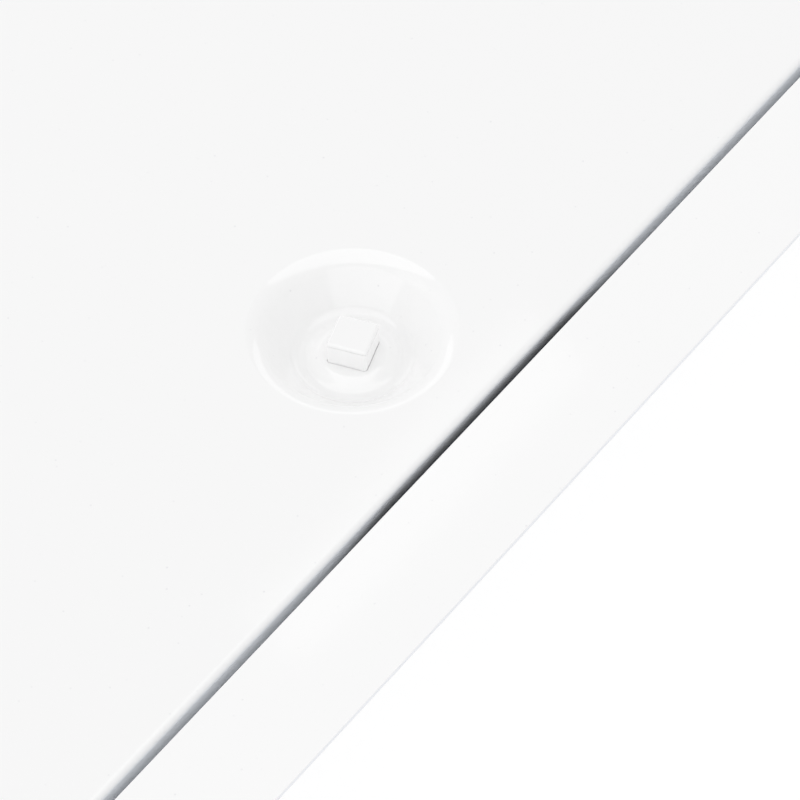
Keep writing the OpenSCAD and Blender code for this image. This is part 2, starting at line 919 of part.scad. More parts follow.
frame_rail_lock();
frame_rail_hinge();
frame_rail_left();
frame_rail_right();
corner_bracket_lock_left();
corner_bracket_lock_right();
corner_bracket_hinge_left();
corner_bracket_hinge_right();
corner_rivets();
stop_angle_lock();
stop_angle_left();
stop_angle_right();
seal_strip_lock();
seal_strip_left();
seal_strip_right();
edge_buffer();
pivot_bush_left();
pivot_bush_right();
door_panel();
door_stiffener();
hinge_bracket_left();
hinge_bracket_right();
hinge_spring_left();
hinge_spring_right();
lock_bush();
lock_spindle();
spring_washer();
latch_cam();
split_washer();
cam_nut();
hinge_pin_left();
hinge_pin_right();
pin_clip_left();
pin_clip_right();
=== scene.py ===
import json
import math

import bmesh
import bpy
from bpy.props import FloatProperty, FloatVectorProperty, IntProperty, PointerProperty
from mathutils import Matrix, Vector


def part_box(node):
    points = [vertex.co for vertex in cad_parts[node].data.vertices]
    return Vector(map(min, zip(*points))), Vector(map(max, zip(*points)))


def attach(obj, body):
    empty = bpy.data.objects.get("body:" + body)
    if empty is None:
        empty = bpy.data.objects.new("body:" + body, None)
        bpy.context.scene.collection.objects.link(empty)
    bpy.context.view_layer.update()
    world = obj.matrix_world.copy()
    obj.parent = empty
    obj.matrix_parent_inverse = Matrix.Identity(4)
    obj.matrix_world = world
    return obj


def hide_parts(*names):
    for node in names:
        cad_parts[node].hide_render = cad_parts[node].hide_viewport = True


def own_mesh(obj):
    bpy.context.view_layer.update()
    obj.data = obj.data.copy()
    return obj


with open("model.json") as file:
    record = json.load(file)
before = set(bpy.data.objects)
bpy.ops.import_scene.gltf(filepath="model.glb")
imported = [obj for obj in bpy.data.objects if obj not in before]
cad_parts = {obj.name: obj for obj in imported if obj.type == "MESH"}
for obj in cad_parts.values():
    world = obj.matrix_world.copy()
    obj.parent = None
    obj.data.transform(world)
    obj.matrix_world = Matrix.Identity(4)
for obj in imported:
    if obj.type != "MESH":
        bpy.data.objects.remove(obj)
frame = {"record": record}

bl_info = {
    "name": "Ceiling access panel",
    "version": (1, 0, 0),
    "blender": (4, 5, 0),
    "location": "3D View > Sidebar > Access Panel",
    "description": "Builds the looks of a sheet-steel ceiling access panel around its CAD frame",
    "category": "Object",
}

MM = 0.001
TURN = 2 * math.pi
# Distance under which two vertices are one, and the angle above which an edge stays sharp
WELD = 1e-6
SHARP = math.radians(38)
# Turn of a folded edge above which it counts as a cut edge that the paint rounds
CUT = math.radians(55)
X, Y, Z = Vector((1, 0, 0)), Vector((0, 1, 0)), Vector((0, 0, 1))
# Signs of the corners of a rectangle, in the order in which an outline passes them
QUARTERS = ((1, 1), (-1, 1), (-1, -1), (1, -1))

# Places that the CAD frame gives: the pivot line, the lock, the face, the door's and the frame's edges, the
# walls, and points on the pivots' and the lock's axes and in the dish's middle
RECORD = frame["record"]
JOINTS = {j["name"]: j for j in RECORD["behaviour"]["joints"]}
MOUNTS = {m["name"]: m for m in RECORD["mounts"]}
HINGE = Vector(JOINTS["door_hinge"]["pos_m"])
LOCK = Vector(JOINTS["lock_turn"]["pos_m"])
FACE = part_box("door_panel")[1].z
HALF_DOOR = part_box("door_panel")[1].x
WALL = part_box("corner_bracket_lock_right")[1].x
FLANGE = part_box("frame_rail_lock")[1].x
PIVOT_AXIS = Vector((0, HINGE.y, HINGE.z))
LOCK_AXIS = Vector((0, LOCK.y, 0))
DISH = Vector((0, LOCK.y, FACE))
# Angle of the stud at rest: the lock's turn to one end takes the stud square with the lock edge
STUD_ANGLE = -math.radians(JOINTS["lock_turn"]["range_deg"][0])


def srgb(text):
    """Linear colour of an sRGB hex value."""
    parts = [int(text[i:i + 2], 16) / 255 for i in (0, 2, 4)]
    return tuple(p / 12.92 if p <= 0.04045 else ((p + 0.055) / 1.055) ** 2.4 for p in parts)


def length(name, text, mm):
    """A size that the user can change, with its default in millimetres."""
    return FloatProperty(name=name, description=text, default=mm * MM, min=0.0, unit="LENGTH", precision=5)


def colour(name, text, value):
    """A colour that the user can change, with its default as an sRGB hex value."""
    return FloatVectorProperty(name=name, description=text, subtype="COLOR", size=3, min=0, max=1,
                               default=srgb(value))


class AccessPanelSizes(bpy.types.PropertyGroup):
    """Sizes of the panel that the CAD boxes don't give."""
    sheet: length("Sheet", "Thickness of the folded sheet", 1.0)
    fold_r: length("Frame fold", "Inner radius of the frame's folds", 0.2)
    soften: length("Cut edges", "Radius that the paint gives the cut edges of the sheet", 0.2)
    crisp: length("Frame edge", "Radius of the frame's edge beside the door", 0.25)
    edge_r: length("Door edge", "Outer radius of the door's folded edge", 1.2)
    corner_r: length("Door corner", "Radius of the door's corners, seen from the front", 4.0)
    dish_d: length("Dish", "Diameter of the pressed dish around the lock", 36.0)
    dish_depth: length("Dish depth", "Depth of the dish's floor below the face", 6.7)
    dish_rim_r: length("Dish rim", "Radius of the dish's rim", 1.2)
    dish_lead: FloatProperty(name="Dish lead", description="Slope just inside the dish's rim",
                             default=math.radians(12), subtype="ANGLE")
    dish_shoulder_r: length("Dish shoulder", "Radius between the dish's rim and its wall", 6.0)
    dish_foot_r: length("Dish foot", "Radius between the dish's wall and its floor", 2.5)
    dish_flat_r: length("Dish floor", "Radius of the flat floor of the dish", 8.8)
    lock_hole_d: length("Lock hole", "Diameter of the hole in the dish's floor", 12.3)
    stud_w: length("Stud", "Width across the flats of the key stud", 7.0)
    stud_edge_r: length("Stud edges", "Radius of the stud's upright edges", 0.5)
    stud_chamfer: length("Stud end", "Radius around the stud's end", 0.45)
    crease: length("Crease", "Width of the line around the stud's foot", 0.06)
    end_line: length("End line", "Width of the fine line under the stud's rounded end", 0.1)
    head_t: length("Head", "Thickness of the round head under the stud", 1.1)
    head_flat_d: length("Head flat", "Diameter of the head's flat around the stud", 10.3)
    head_slope: length("Head edge", "Width of the head's sloping edge", 3.1)
    crease_depth: length("Crease depth", "Depth of the line around the stud's foot", 0.6)
    shank_d: length("Shank", "Diameter of the spindle's round shank", 10.0)
    lock_bore_d: length("Lock bore", "Inner diameter of the bush and of the washer around the shank", 10.2)
    nut_w: length("Nut", "Width across the flats of the nut", 10.0)
    thread_d: length("Thread", "Diameter of the spindle's threaded end", 6.0)
    thread_pitch: length("Thread pitch", "Pitch of the spindle's thread", 1.0)
    corner_t: length("Corner bracket", "Thickness of the corner brackets", 1.5)
    rivet_d: length("Rivet", "Diameter of a rivet's shank", 3.2)
    rivet_head_d: length("Rivet head", "Diameter of a rivet's head", 6.0)
    rivet_tail_d: length("Rivet tail", "Diameter of a rivet's upset tail", 4.8)
    bracket_t: length("Hinge bracket", "Thickness of the hinge brackets", 1.2)
    pivot_hole_d: length("Pivot hole", "Diameter of the frame's holes for the pivot bushes", 7.3)
    pin_hole_d: length("Pin hole", "Diameter of the holes that a hinge pin turns in", 4.2)
    pin_bend_r: length("Pin bend", "Radius of the bend in a hinge pin, at its middle", 5.0)
    wire: length("Spring wire", "Wire diameter of the hinge springs", 0.6)
    turns: IntProperty(name="Spring turns", description="Open turns of a hinge spring", default=8, min=3)
    foam_edge: length("Foam edge", "Radius of the edges of the foam strips", 0.5)
    buffer_top: length("Buffer", "Length of the foam buffer along its top", 50.0)
    peel: length("Orange peel", "Size of the ripples in the powder coat", 1.6)
    wave: length("Sheet waves", "Size of the slow waves in the sheet", 55.0)
    speck: length("Specks", "Radius of the dust specks in the paint", 0.16)


class AccessPanelColours(bpy.types.PropertyGroup):
    """Colours of the panel's finishes."""
    paint: colour("Door coat", "White powder coat of the door and the key stud", "fcfcfc")
    # The frame coat is the door's white made a shade lighter, as painted light for the brighter flange
    lighter_frame_paint: colour("Lighter frame coat", "White powder coat of the frame, painted a shade lighter as painted light", "fefefe")
    # The side shade paint is a cooler white painted on folds and sides as bluish shade
    side_shade_paint: colour("Painted side shade", "Cooler white painted on folds and sides as bluish shade", "f9fbfe")
    speck: colour("Dust", "Dust specks in the powder coat", "ececee")
    zinc: colour("Zinc", "Bright zinc plate", "c4c8cc")
    zinc_dull: colour("Dull zinc", "Duller patches of the zinc plate", "a9afb6")
    spring: colour("Spring steel", "Oiled spring steel", "74767a")
    foam: colour("Foam", "Closed-cell foam of the seal", "363c46")
    nylon: colour("Nylon", "Natural nylon of the bushes", "dddbd3")
    floor: colour("Floor", "Floor under the panel", "f7f7f8")


def sizes():
    """The sizes in the open scene."""
    return bpy.context.scene.access_panel_sizes


def colours():
    """The colours in the open scene."""
    return bpy.context.scene.access_panel_colours


# Materials


def put(tree, kind, settings=(), **sockets):
    """Adds a node, gives it its settings, and fills its sockets with values or with links."""
    node = tree.nodes.new(kind)
    for key, value in dict(settings).items():
        setattr(node, key, value)
    for key, value in sockets.items():
        socket = node.inputs[key.replace("_", " ")]
        if isinstance(value, bpy.types.NodeSocket):
            tree.links.new(value, socket)
        else:
            socket.default_value = value
    return node


def wired(tree, kind, *links, **settings):
    """First output of a new node whose first sockets take links."""
    node = put(tree, kind, settings)
    for socket, value in zip(node.inputs, links):
        tree.links.new(value, socket)
    return node.outputs[0]


def mixed(tree, factor, a, b):
    """Colour between a and b."""
    node = put(tree, "ShaderNodeMix", {"data_type": "RGBA"})
    tree.links.new(factor, node.inputs[0])
    for socket, value in ((node.inputs[6], a), (node.inputs[7], b)):
        if isinstance(value, bpy.types.NodeSocket):
            tree.links.new(value, socket)
        else:
            socket.default_value = (*value, 1)
    return node.outputs[2]


def ramp(tree, value, low, high, to_low, to_high):
    """A value carried smoothly from one range to another."""
    return put(tree, "ShaderNodeMapRange", {"interpolation_type": "SMOOTHSTEP"}, Value=value,
               From_Min=low, From_Max=high, To_Min=to_low, To_Max=to_high).outputs["Result"]


def noise(tree, where, size, detail=1.0):
    """Noise whose ripples have a size in metres."""
    return put(tree, "ShaderNodeTexNoise", Vector=where, Scale=1 / size, Detail=detail,
               Roughness=0.5).outputs["Fac"]


def cells(tree, where, size):
    """Distance from the nearest of points scattered at a spacing in metres, in spacings."""
    return put(tree, "ShaderNodeTexVoronoi", Vector=where, Scale=1 / size).outputs["Distance"]


def bumped(tree, height, depth, under=None):
    """Normals of a surface whose height goes up and down by a depth in metres."""
    node = put(tree, "ShaderNodeBump", Height=height, Distance=depth, Strength=1.0)
    if under:
        tree.links.new(under, node.inputs["Normal"])
    return node.outputs["Normal"]


def new_material(name):
    """An empty material, its tree, its object coordinates and its surface socket."""
    material = bpy.data.materials.new(name)
    material.use_nodes = True
    tree = material.node_tree
    tree.nodes.clear()
    surface = tree.nodes.new("ShaderNodeOutputMaterial").inputs["Surface"]
    return material, tree, tree.nodes.new("ShaderNodeTexCoord").outputs["Object"], surface


def finished(material, tree, surface, **sockets):
    """The material, once its surface has a shader with those sockets."""
    shader = put(tree, "ShaderNodeBsdfPrincipled", **sockets)
    tree.links.new(shader.outputs["BSDF"], surface)
    return material


def white_powder_coat(name="white powder-coated steel", paint="paint", edge="side_shade_paint"):
    """Semi-gloss white powder coat on steel sheet, with painted cool shade on folds and sides."""
    material, tree, where, surface = new_material(name)
    s, c = sizes(), colours()
    # Faint dust specks, a few of them darker, break up the even white, as in the photo. They lie that many of
    # their radii apart
    spacing = 16
    dust = put(tree, "ShaderNodeTexVoronoi", Vector=where, Scale=1 / (spacing * s.speck)).outputs
    depth = ramp(tree, dust["Color"], 0.35, 1.1, 0.1, 1.0)
    specks = ramp(tree, dust["Distance"], 0.4 / spacing, 1.7 / spacing, depth, 0.0)
    # Slow waves of the thin sheet bend the soft reflections, and orange peel makes the gloss look sprayed
    waves = bumped(tree, noise(tree, where, s.wave, 0.0), 0.3 * MM)
    peel = bumped(tree, noise(tree, where, s.peel), 0.003 * MM, waves)
    # Painted shade: folds and sides, whose normals lean away from up, get a cooler white as painted bluish
    # shade
    facing = tree.nodes.new("ShaderNodeTexCoord").outputs["Normal"]
    rise = put(tree, "ShaderNodeSeparateXYZ", Vector=facing).outputs["Z"]
    white = mixed(tree, ramp(tree, rise, 0.1, 0.6, 1.0, 0.0), getattr(c, paint), getattr(c, edge))
    return finished(material, tree, surface, Base_Color=mixed(tree, specks, white, c.speck), Roughness=0.06,
                    IOR=1.5, Normal=peel)


def lighter_frame_coat():
    """The frame's powder coat: the door's white made a shade lighter, as painted light on the flange."""
    return white_powder_coat("white powder-coated steel frame, painted lighter", "lighter_frame_paint")


def stud_coat():
    """The key stud's powder coat, without the painted cool shade on its sides."""
    return white_powder_coat("white powder-coated steel stud", edge="paint")


def zinc_plated_steel():
    """Bright zinc plate."""
    material, tree, where, surface = new_material("bright zinc-plated steel")
    c = colours()
    # Cloudy patches and a fine grain keep the plating from looking like chrome
    clouds = noise(tree, where, 5 * MM, 3.0)
    grain = bumped(tree, noise(tree, where, 0.25 * MM, 2.0), 0.004 * MM)
    shade = mixed(tree, ramp(tree, clouds, 0.35, 0.7, 0.0, 1.0), c.zinc, c.zinc_dull)
    return finished(material, tree, surface, Base_Color=shade, Metallic=1.0,
                    Roughness=ramp(tree, clouds, 0.3, 0.7, 0.28, 0.42), Normal=grain)


def spring_steel():
    """Oiled spring steel."""
    material, tree, where, surface = new_material("oiled spring steel")
    # Streaks of oil make the dark wire shine unevenly
    oil = noise(tree, where, 1.5 * MM, 2.0)
    return finished(material, tree, surface, Base_Color=(*colours().spring, 1), Metallic=1.0,
                    Roughness=ramp(tree, oil, 0.3, 0.7, 0.2, 0.4))


def foam_seal():
    """Closed-cell foam."""
    material, tree, where, surface = new_material("closed-cell foam")
    # Small closed cells give the strip a dull, pitted skin
    pits = bumped(tree, cells(tree, where, 0.7 * MM), 0.12 * MM)
    return finished(material, tree, surface, Base_Color=(*colours().foam, 1), Roughness=0.9, IOR=1.45,
                    Normal=pits)


def nylon():
    """Natural nylon."""
    material, tree, where, surface = new_material("natural nylon")
    # Light that goes a little way in makes the moulding look milky, with a faint mould grain
    grain = bumped(tree, noise(tree, where, 0.4 * MM, 2.0), 0.006 * MM)
    return finished(material, tree, surface, Base_Color=(*colours().nylon, 1), Roughness=0.42, IOR=1.53,
                    Subsurface_Weight=0.2, Subsurface_Radius=(0.9, 0.85, 0.75), Subsurface_Scale=0.8 * MM,
                    Normal=grain)


# Functions that make the materials of the record's slots and the coats that two bodies have of their own: a
# copy of the door's coat painted lighter for the frame, as painted light, and one without the painted side
# shade for the stud; and the materials made so far
FINISHES = {f.__name__: f for f in (white_powder_coat, zinc_plated_steel, spring_steel, foam_seal, nylon,
                                    lighter_frame_coat, stud_coat)}
COATS = {"frame": "lighter_frame_coat", "lock": "stud_coat"}
made = {}


# Shapes


def left_of(v):
    """Unit vector a quarter turn to the left of a 2D vector."""
    return Vector((-v.y, v.x)).normalized()


def strip_side(path, radii, off, steps):
    """One side of a strip whose middle line follows a path and bends at the radii."""
    pts = [Vector(p) for p in path]
    side = [pts[0] + off * left_of(pts[1] - pts[0])]
    for a, b, c, r in zip(pts, pts[1:], pts[2:], radii):
        u, v = (b - a).normalized(), (c - b).normalized()
        turn = math.atan2(u.cross(v), u.dot(v))
        way = math.copysign(1, turn)
        centre = b - u * r * math.tan(abs(turn) / 2) + way * r * left_of(u)
        for i in range(steps + 1):
            side.append(centre - (r - way * off) * way * (Matrix.Rotation(turn * i / steps, 2) @ left_of(u)))
    side.append(pts[-1] + off * left_of(pts[-1] - pts[-2]))
    return side


def strip(path, t, radii, steps=10):
    """Outline of a folded sheet of thickness t."""
    return strip_side(path, radii, t / 2, steps) + strip_side(path, radii, -t / 2, steps)[::-1]


def arc(x, y, r, start, end, steps):
    """Points along an arc, with its angles in degrees."""
    turns = [math.radians(start + (end - start) * i / steps) for i in range(steps + 1)]
    return [Vector((x + r * math.cos(a), y + r * math.sin(a))) for a in turns]


def round_rectangle(w, h, r, steps=6):
    """Outline of a rectangle with round corners, about the origin."""
    return [p for k, (sx, sy) in enumerate(QUARTERS)
            for p in arc(sx * (w / 2 - r), sy * (h / 2 - r), r, 90 * k, 90 * k + 90, steps)]


def eased(points, size):
    """An outline with its corners cut back by a size and rounded."""
    out = []
    for i, p in enumerate(points):
        p = Vector(p)
        a = p + (Vector(points[i - 1]) - p).normalized() * size
        b = p + (Vector(points[(i + 1) % len(points)]) - p).normalized() * size
        out += [a, p / 2 + (a + b) / 4, b]
    return out


def loop(bm, points):
    """Edges of a closed loop of new vertices."""
    verts = [bm.verts.new(p) for p in points]
    return [bm.edges.new(pair) for pair in zip(verts, verts[1:] + verts[:1])]


def new_verts(geom):
    """The vertices among what an operation gives."""
    return [v for v in geom if isinstance(v, bmesh.types.BMVert)]


def drawn_out(bm, edges):
    """New vertices at the far side of faces drawn out from edges, to be moved from there."""
    return new_verts(bmesh.ops.extrude_edge_only(bm, edges=edges)["geom"])


def fill(bm, edges):
    """Fills the flat space between loops of edges."""
    bmesh.ops.triangle_fill(bm, use_beauty=True, use_dissolve=False, edges=edges, normal=Z)


def cut(bm, at, normal, **options):
    """Cuts a mesh along a plane."""
    bmesh.ops.bisect_plane(bm, geom=bm.verts[:] + bm.edges[:] + bm.faces[:], plane_co=at, plane_no=normal,
                           **options)


def edges_of(verts):
    """Edges that lie between the vertices."""
    found = set(verts)
    around = dict.fromkeys(e for v in verts for e in v.link_edges)
    return [e for e in around if e.verts[0] in found and e.verts[1] in found]


def round_off(bm, edges, size, segments=3):
    """Rounds edges by a size."""
    bmesh.ops.bevel(bm, geom=edges, offset=size, offset_type="OFFSET", segments=segments, profile=0.5,
                    affect="EDGES", clamp_overlap=True, material=-1)


def prism(points, move, soften):
    """A solid from a 3D outline to its moved copy, with its long cut edges rounded."""
    bm = bmesh.new()
    cap = bm.faces.new([bm.verts.new(p) for p in points])
    far = set(new_verts(bmesh.ops.extrude_face_region(bm, geom=[cap])["geom"]))
    for v in far:
        v.co = move(v.co)
    bmesh.ops.recalc_face_normals(bm, faces=bm.faces)
    sides = [e for e in bm.edges if (e.verts[0] in far) != (e.verts[1] in far)]
    round_off(bm, [e for e in sides if e.calc_face_angle() > CUT], soften)
    return bm


def plate(outer, inner, z0, z1, soften):
    """A flat plate between two heights, with an outline, perhaps a hole, and rounded rims."""
    bm = bmesh.new()
    rims = [e for points in (outer, inner) if points for e in loop(bm, [(p.x, p.y, z0) for p in points])]
    fill(bm, rims)
    for v in new_verts(bmesh.ops.extrude_face_region(bm, geom=bm.faces[:])["geom"]):
        v.co.z = z1
    bmesh.ops.recalc_face_normals(bm, faces=bm.faces)
    flat = [e for e in bm.edges if abs(e.verts[0].co.z - e.verts[1].co.z) < WELD]
    round_off(bm, [e for e in flat if e.calc_face_angle() > CUT], soften, 2)
    return bm


def lathe(bm, profile, origin, axis=Z, closed=True, steps=64):
    """Spins a profile of (radius, height) points about an axis through origin."""
    aside = Y if abs(axis.x) > 0.5 else X
    verts = [bm.verts.new(origin + r * aside + h * axis) for r, h in profile]
    edges = [bm.edges.new(pair) for pair in zip(verts, verts[1:])]
    if closed:
        edges.append(bm.edges.new((verts[-1], verts[0])))
    bmesh.ops.spin(bm, geom=verts + edges, cent=origin, axis=axis, angle=TURN, steps=steps, use_merge=True)
    return bm


def band(bm, a, b):
    """Faces between two closed rings of vertices that go round in the same order."""
    for i in range(len(a)):
        bm.faces.new((a[i - 1], a[i], b[i], b[i - 1]))


def loft(bm, rings, capped=False):
    """Joins closed rings one to the next, and caps both ends or joins the last to the first."""
    loops = [[bm.verts.new(p) for p in ring] for ring in rings]
    for a, b in zip(loops, loops[1:] if capped else loops[1:] + loops[:1]):
        band(bm, a, b)
    if capped:
        bm.faces.new(loops[0])
        bm.faces.new(loops[-1])
    return bm


def off_axis(d, axis):
    """Distance from an axis through the origin."""
    return (d - axis * d.dot(axis)).length


def ring_hole(bm, face, centre, radius, soften):
    """Opens a round hole with a softened rim in a flat square face around a point. Gives its inner ring."""
    face.normal_update()
    normal = face.normal.copy()
    middle = centre + normal * (face.verts[0].co - centre).dot(normal)
    # Rings start at a corner of the square and go round with the face
    ring = [corner.vert for corner in face.loops]
    first = max(range(len(ring)), key=lambda i: (ring[i].co - middle).length)
    ring = ring[first:] + ring[:first]
    start = (ring[0].co - middle).normalized()
    rays = [Matrix.Rotation(TURN * i / len(ring), 3, normal) @ start for i in range(len(ring))]
    bmesh.ops.delete(bm, geom=[face], context="FACES_ONLY")
    # A soft rim goes down in steps, given in shares of its size, and a sharp one is a single ring
    for wide, deep in ((1.0, 0.0), (0.3, 0.3), (0.0, 1.0)) if soften else ((0.0, 0.0),):
        out, down = radius + wide * soften, normal * deep * soften
        inner = [bm.verts.new(middle + ray * out - down) for ray in rays]
        band(bm, ring, inner)
        ring = inner
    return ring


def ring_holes(bm, faces, centre, radius, soften=0.0):
    """Opens the same hole in each of the faces, and gives their inner rings."""
    # Splitting edges drops every hold on a vertex, so it comes before the rings
    bmesh.ops.bisect_edges(bm, edges=[e for f in faces for e in f.edges], cuts=7)
    return [ring_hole(bm, f, centre, radius, soften) for f in faces]


def flat_faces(bm, centre, axis, cell):
    """The faces square to an axis that lie around a point, within a tenth of the cell."""
    return [f for f in bm.faces if abs(f.normal.dot(axis)) > 0.99
            and off_axis(f.calc_center_median() - centre, axis) < cell / 10]


def punch(bm, centre, axis, radius, cell, soften, reach):
    """A round hole through the flat wall within reach of a point, in a square cell of that half width."""
    for d in (X, Y, Z):
        if abs(d.dot(axis)) < 0.5:
            for way in (-1, 1):
                cut(bm, centre + way * cell * d, d, dist=WELD)
    walls = [f for f in flat_faces(bm, centre, axis, cell)
             if abs((f.calc_center_median() - centre).dot(axis)) < reach]
    if len(walls) != 2:
        raise RuntimeError(f"a hole at {tuple(centre)} meets {len(walls)} faces instead of 2")
    near, far = ring_holes(bm, walls, centre, radius, soften)
    # Each vertex at one end of the bore meets the one straight across from it
    band(bm, near, [min(far, key=lambda w: off_axis(w.co - v.co, axis)) for v in near])


def meshed(name, bm):
    """A named mesh for objects to show, in place of the working one."""
    mesh = bpy.data.meshes.new(name)
    bm.to_mesh(mesh)
    bm.free()
    return mesh


def add_mesh(into, bm):
    """Adds a working mesh to another one."""
    mesh = meshed("part", bm)
    into.from_mesh(mesh)
    bpy.data.meshes.remove(mesh)


def shown(name, data):
    """A new object in the scene."""
    obj = bpy.data.objects.new(name, data)
    bpy.context.collection.objects.link(obj)
    return obj


def on_lock(bm, angle):
    """The mesh moved from the origin to the lock, and turned about it."""
    place = Matrix.Translation(LOCK_AXIS) @ Matrix.Rotation(angle, 4, "Z")
    bmesh.ops.transform(bm, matrix=place, verts=bm.verts)
    return bm


def turned(bm, angle):
    """The mesh turned about the panel's middle, in degrees."""
    bmesh.ops.rotate(bm, verts=bm.verts, cent=(0, 0, 0), matrix=Matrix.Rotation(math.radians(angle), 3, "Z"))
    return bm


def flipped(bm, x, y):
    """The mesh mirrored where x or y is -1."""
    bmesh.ops.scale(bm, vec=(x, y, 1), verts=bm.verts)
    return bm


def piece(name, bm, finish, body, *nodes):
    """Makes a mesh a shown piece with a finish, which rides on a CAD body and stands for CAD nodes."""
    bmesh.ops.remove_doubles(bm, verts=bm.verts, dist=WELD)
    bmesh.ops.recalc_face_normals(bm, faces=bm.faces)
    mesh = meshed(name, bm)
    if not mesh.polygons:
        raise RuntimeError(f"{name} has no faces")
    mesh.shade_smooth()
    mesh.set_sharp_from_angle(angle=SHARP)
    look = COATS.get(body, finish) if finish == "white_powder_coat" else finish
    if look not in made:
        made[look] = FINISHES[look]()
    mesh.materials.append(made[look])
    obj = shown(name, mesh)
    # Large flat faces keep their flat shading beside rounded edges
    obj.modifiers.new("flat faces", "WEIGHTED_NORMAL").keep_sharp = True
    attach(obj, body)
    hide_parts(*nodes)
    return obj


class ACCESS_PANEL_OT_rails(bpy.types.Operator):
    """Builds the four mitred rails of the frame"""
    bl_idname = "access_panel.rails"
    bl_label = "Frame rails"

    def execute(self, context):
        s = sizes()
        mid = s.sheet / 2
        fold = s.fold_r + mid
        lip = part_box("frame_rail_hinge")[0].y - WALL
        path = [(FLANGE - WALL, FACE - mid), (mid, FACE - mid), (mid, mid), (lip, mid)]
        steps = 8
        under, upper = (strip_side(path, [fold, fold], off, steps) for off in (mid, -mid))
        # The edge beside the door is crisper than a fold
        upper[1:steps + 2] = arc(s.crisp, FACE - s.crisp, s.crisp, 90, 180, steps)
        outline = under + upper[::-1]
        fixing = MOUNTS["fixing_holes_lock"]
        fixing_x = fixing["dims"]["spacing_x_mm"] * MM / 2
        fixing_r = fixing["dims"]["hole_r_mm"] * MM
        for name, angle, pivot in (("lock", 0, 0), ("right", 90, 1), ("hinge", 180, 0), ("left", -90, -1)):
            bm = prism([(-WALL - d, -WALL - d, z) for d, z in outline],
                       lambda co: Vector((-co.x, co.y, co.z)), s.soften)
            for x in (-fixing_x, fixing_x):
                centre = Vector((x, -WALL, fixing["pos_m"][2]))
                punch(bm, centre, Y, fixing_r, 1.6 * fixing_r, s.soften, 2 * s.sheet)
            if pivot:
                centre = Vector((pivot * HINGE.y, -WALL, HINGE.z))
                punch(bm, centre, Y, s.pivot_hole_d / 2, 4.4 * MM, 0.5 * s.soften, 2 * s.sheet)
            piece("rail_" + name, turned(bm, angle), "white_powder_coat", "frame", "frame_rail_" + name)
        return {"FINISHED"}


class ACCESS_PANEL_OT_corners(bpy.types.Operator):
    """Builds the corner brackets and their rivets"""
    bl_idname = "access_panel.corners"
    bl_label = "Corner brackets"

    def execute(self, context):
        s = sizes()
        lo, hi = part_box("corner_bracket_lock_right")
        leg = hi.x - lo.x
        t = s.corner_t
        mid = t / 2
        path = [(WALL - leg, mid - WALL), (WALL - mid, mid - WALL), (WALL - mid, leg - WALL)]
        outline = strip(path, t, [t])
        # Two rivets in each leg, at distances from the bend's outside
        rivet_spots = (leg - 15 * MM, leg - 5 * MM)
        height = Vector((0, 0, hi.z - lo.z))
        sides = (("lock_right", 1, 1), ("lock_left", -1, 1), ("hinge_right", 1, -1), ("hinge_left", -1, -1))
        for name, x, y in sides:
            bm = prism([(p.x, p.y, lo.z) for p in outline], lambda co: co + height, s.soften)
            piece("corner_" + name, flipped(bm, x, y), "zinc_plated_steel", "frame", "corner_bracket_" + name)
        rivets = bmesh.new()
        for name, x, y in sides:
            for d in rivet_spots:
                for place, axis in (((WALL - d, t - WALL), Y), ((WALL - t, d - WALL), -X)):
                    middle = Vector((place[0] * x, place[1] * y, (lo.z + hi.z) / 2))
                    self.rivet(rivets, middle, Vector((axis.x * x, axis.y * y, 0)), t + s.sheet)
        piece("rivets", rivets, "zinc_plated_steel", "frame", "corner_rivets")
        return {"FINISHED"}

    def rivet(self, bm, middle, axis, grip):
        """A pop rivet: a low dome with the pulled pin's hollow, its shank and its upset tail."""
        s = sizes()
        head, shank, tail = s.rivet_head_d / 2, s.rivet_d / 2, s.rivet_tail_d / 2
        profile = [(0, 0.5), (0.75, 0.55), (0.85, 1.05), (0.98, 1.1), (1.5, 1.06), (2.1, 0.75), (2.7, 0.38),
                   (head / MM - 0.06, 0.18), (head / MM, 0.08), (head / MM, 0), (shank / MM, 0)]
        profile = [(r * MM, h * MM) for r, h in profile]
        profile += [(shank, -grip), (tail - 0.1 * MM, -grip), (tail, -grip - 0.2 * MM),
                    (tail - 0.2 * MM, -grip - 0.75 * MM), (tail - 0.7 * MM, -grip - MM), (0, -grip - MM)]
        lathe(bm, profile, middle, axis, closed=False, steps=32)


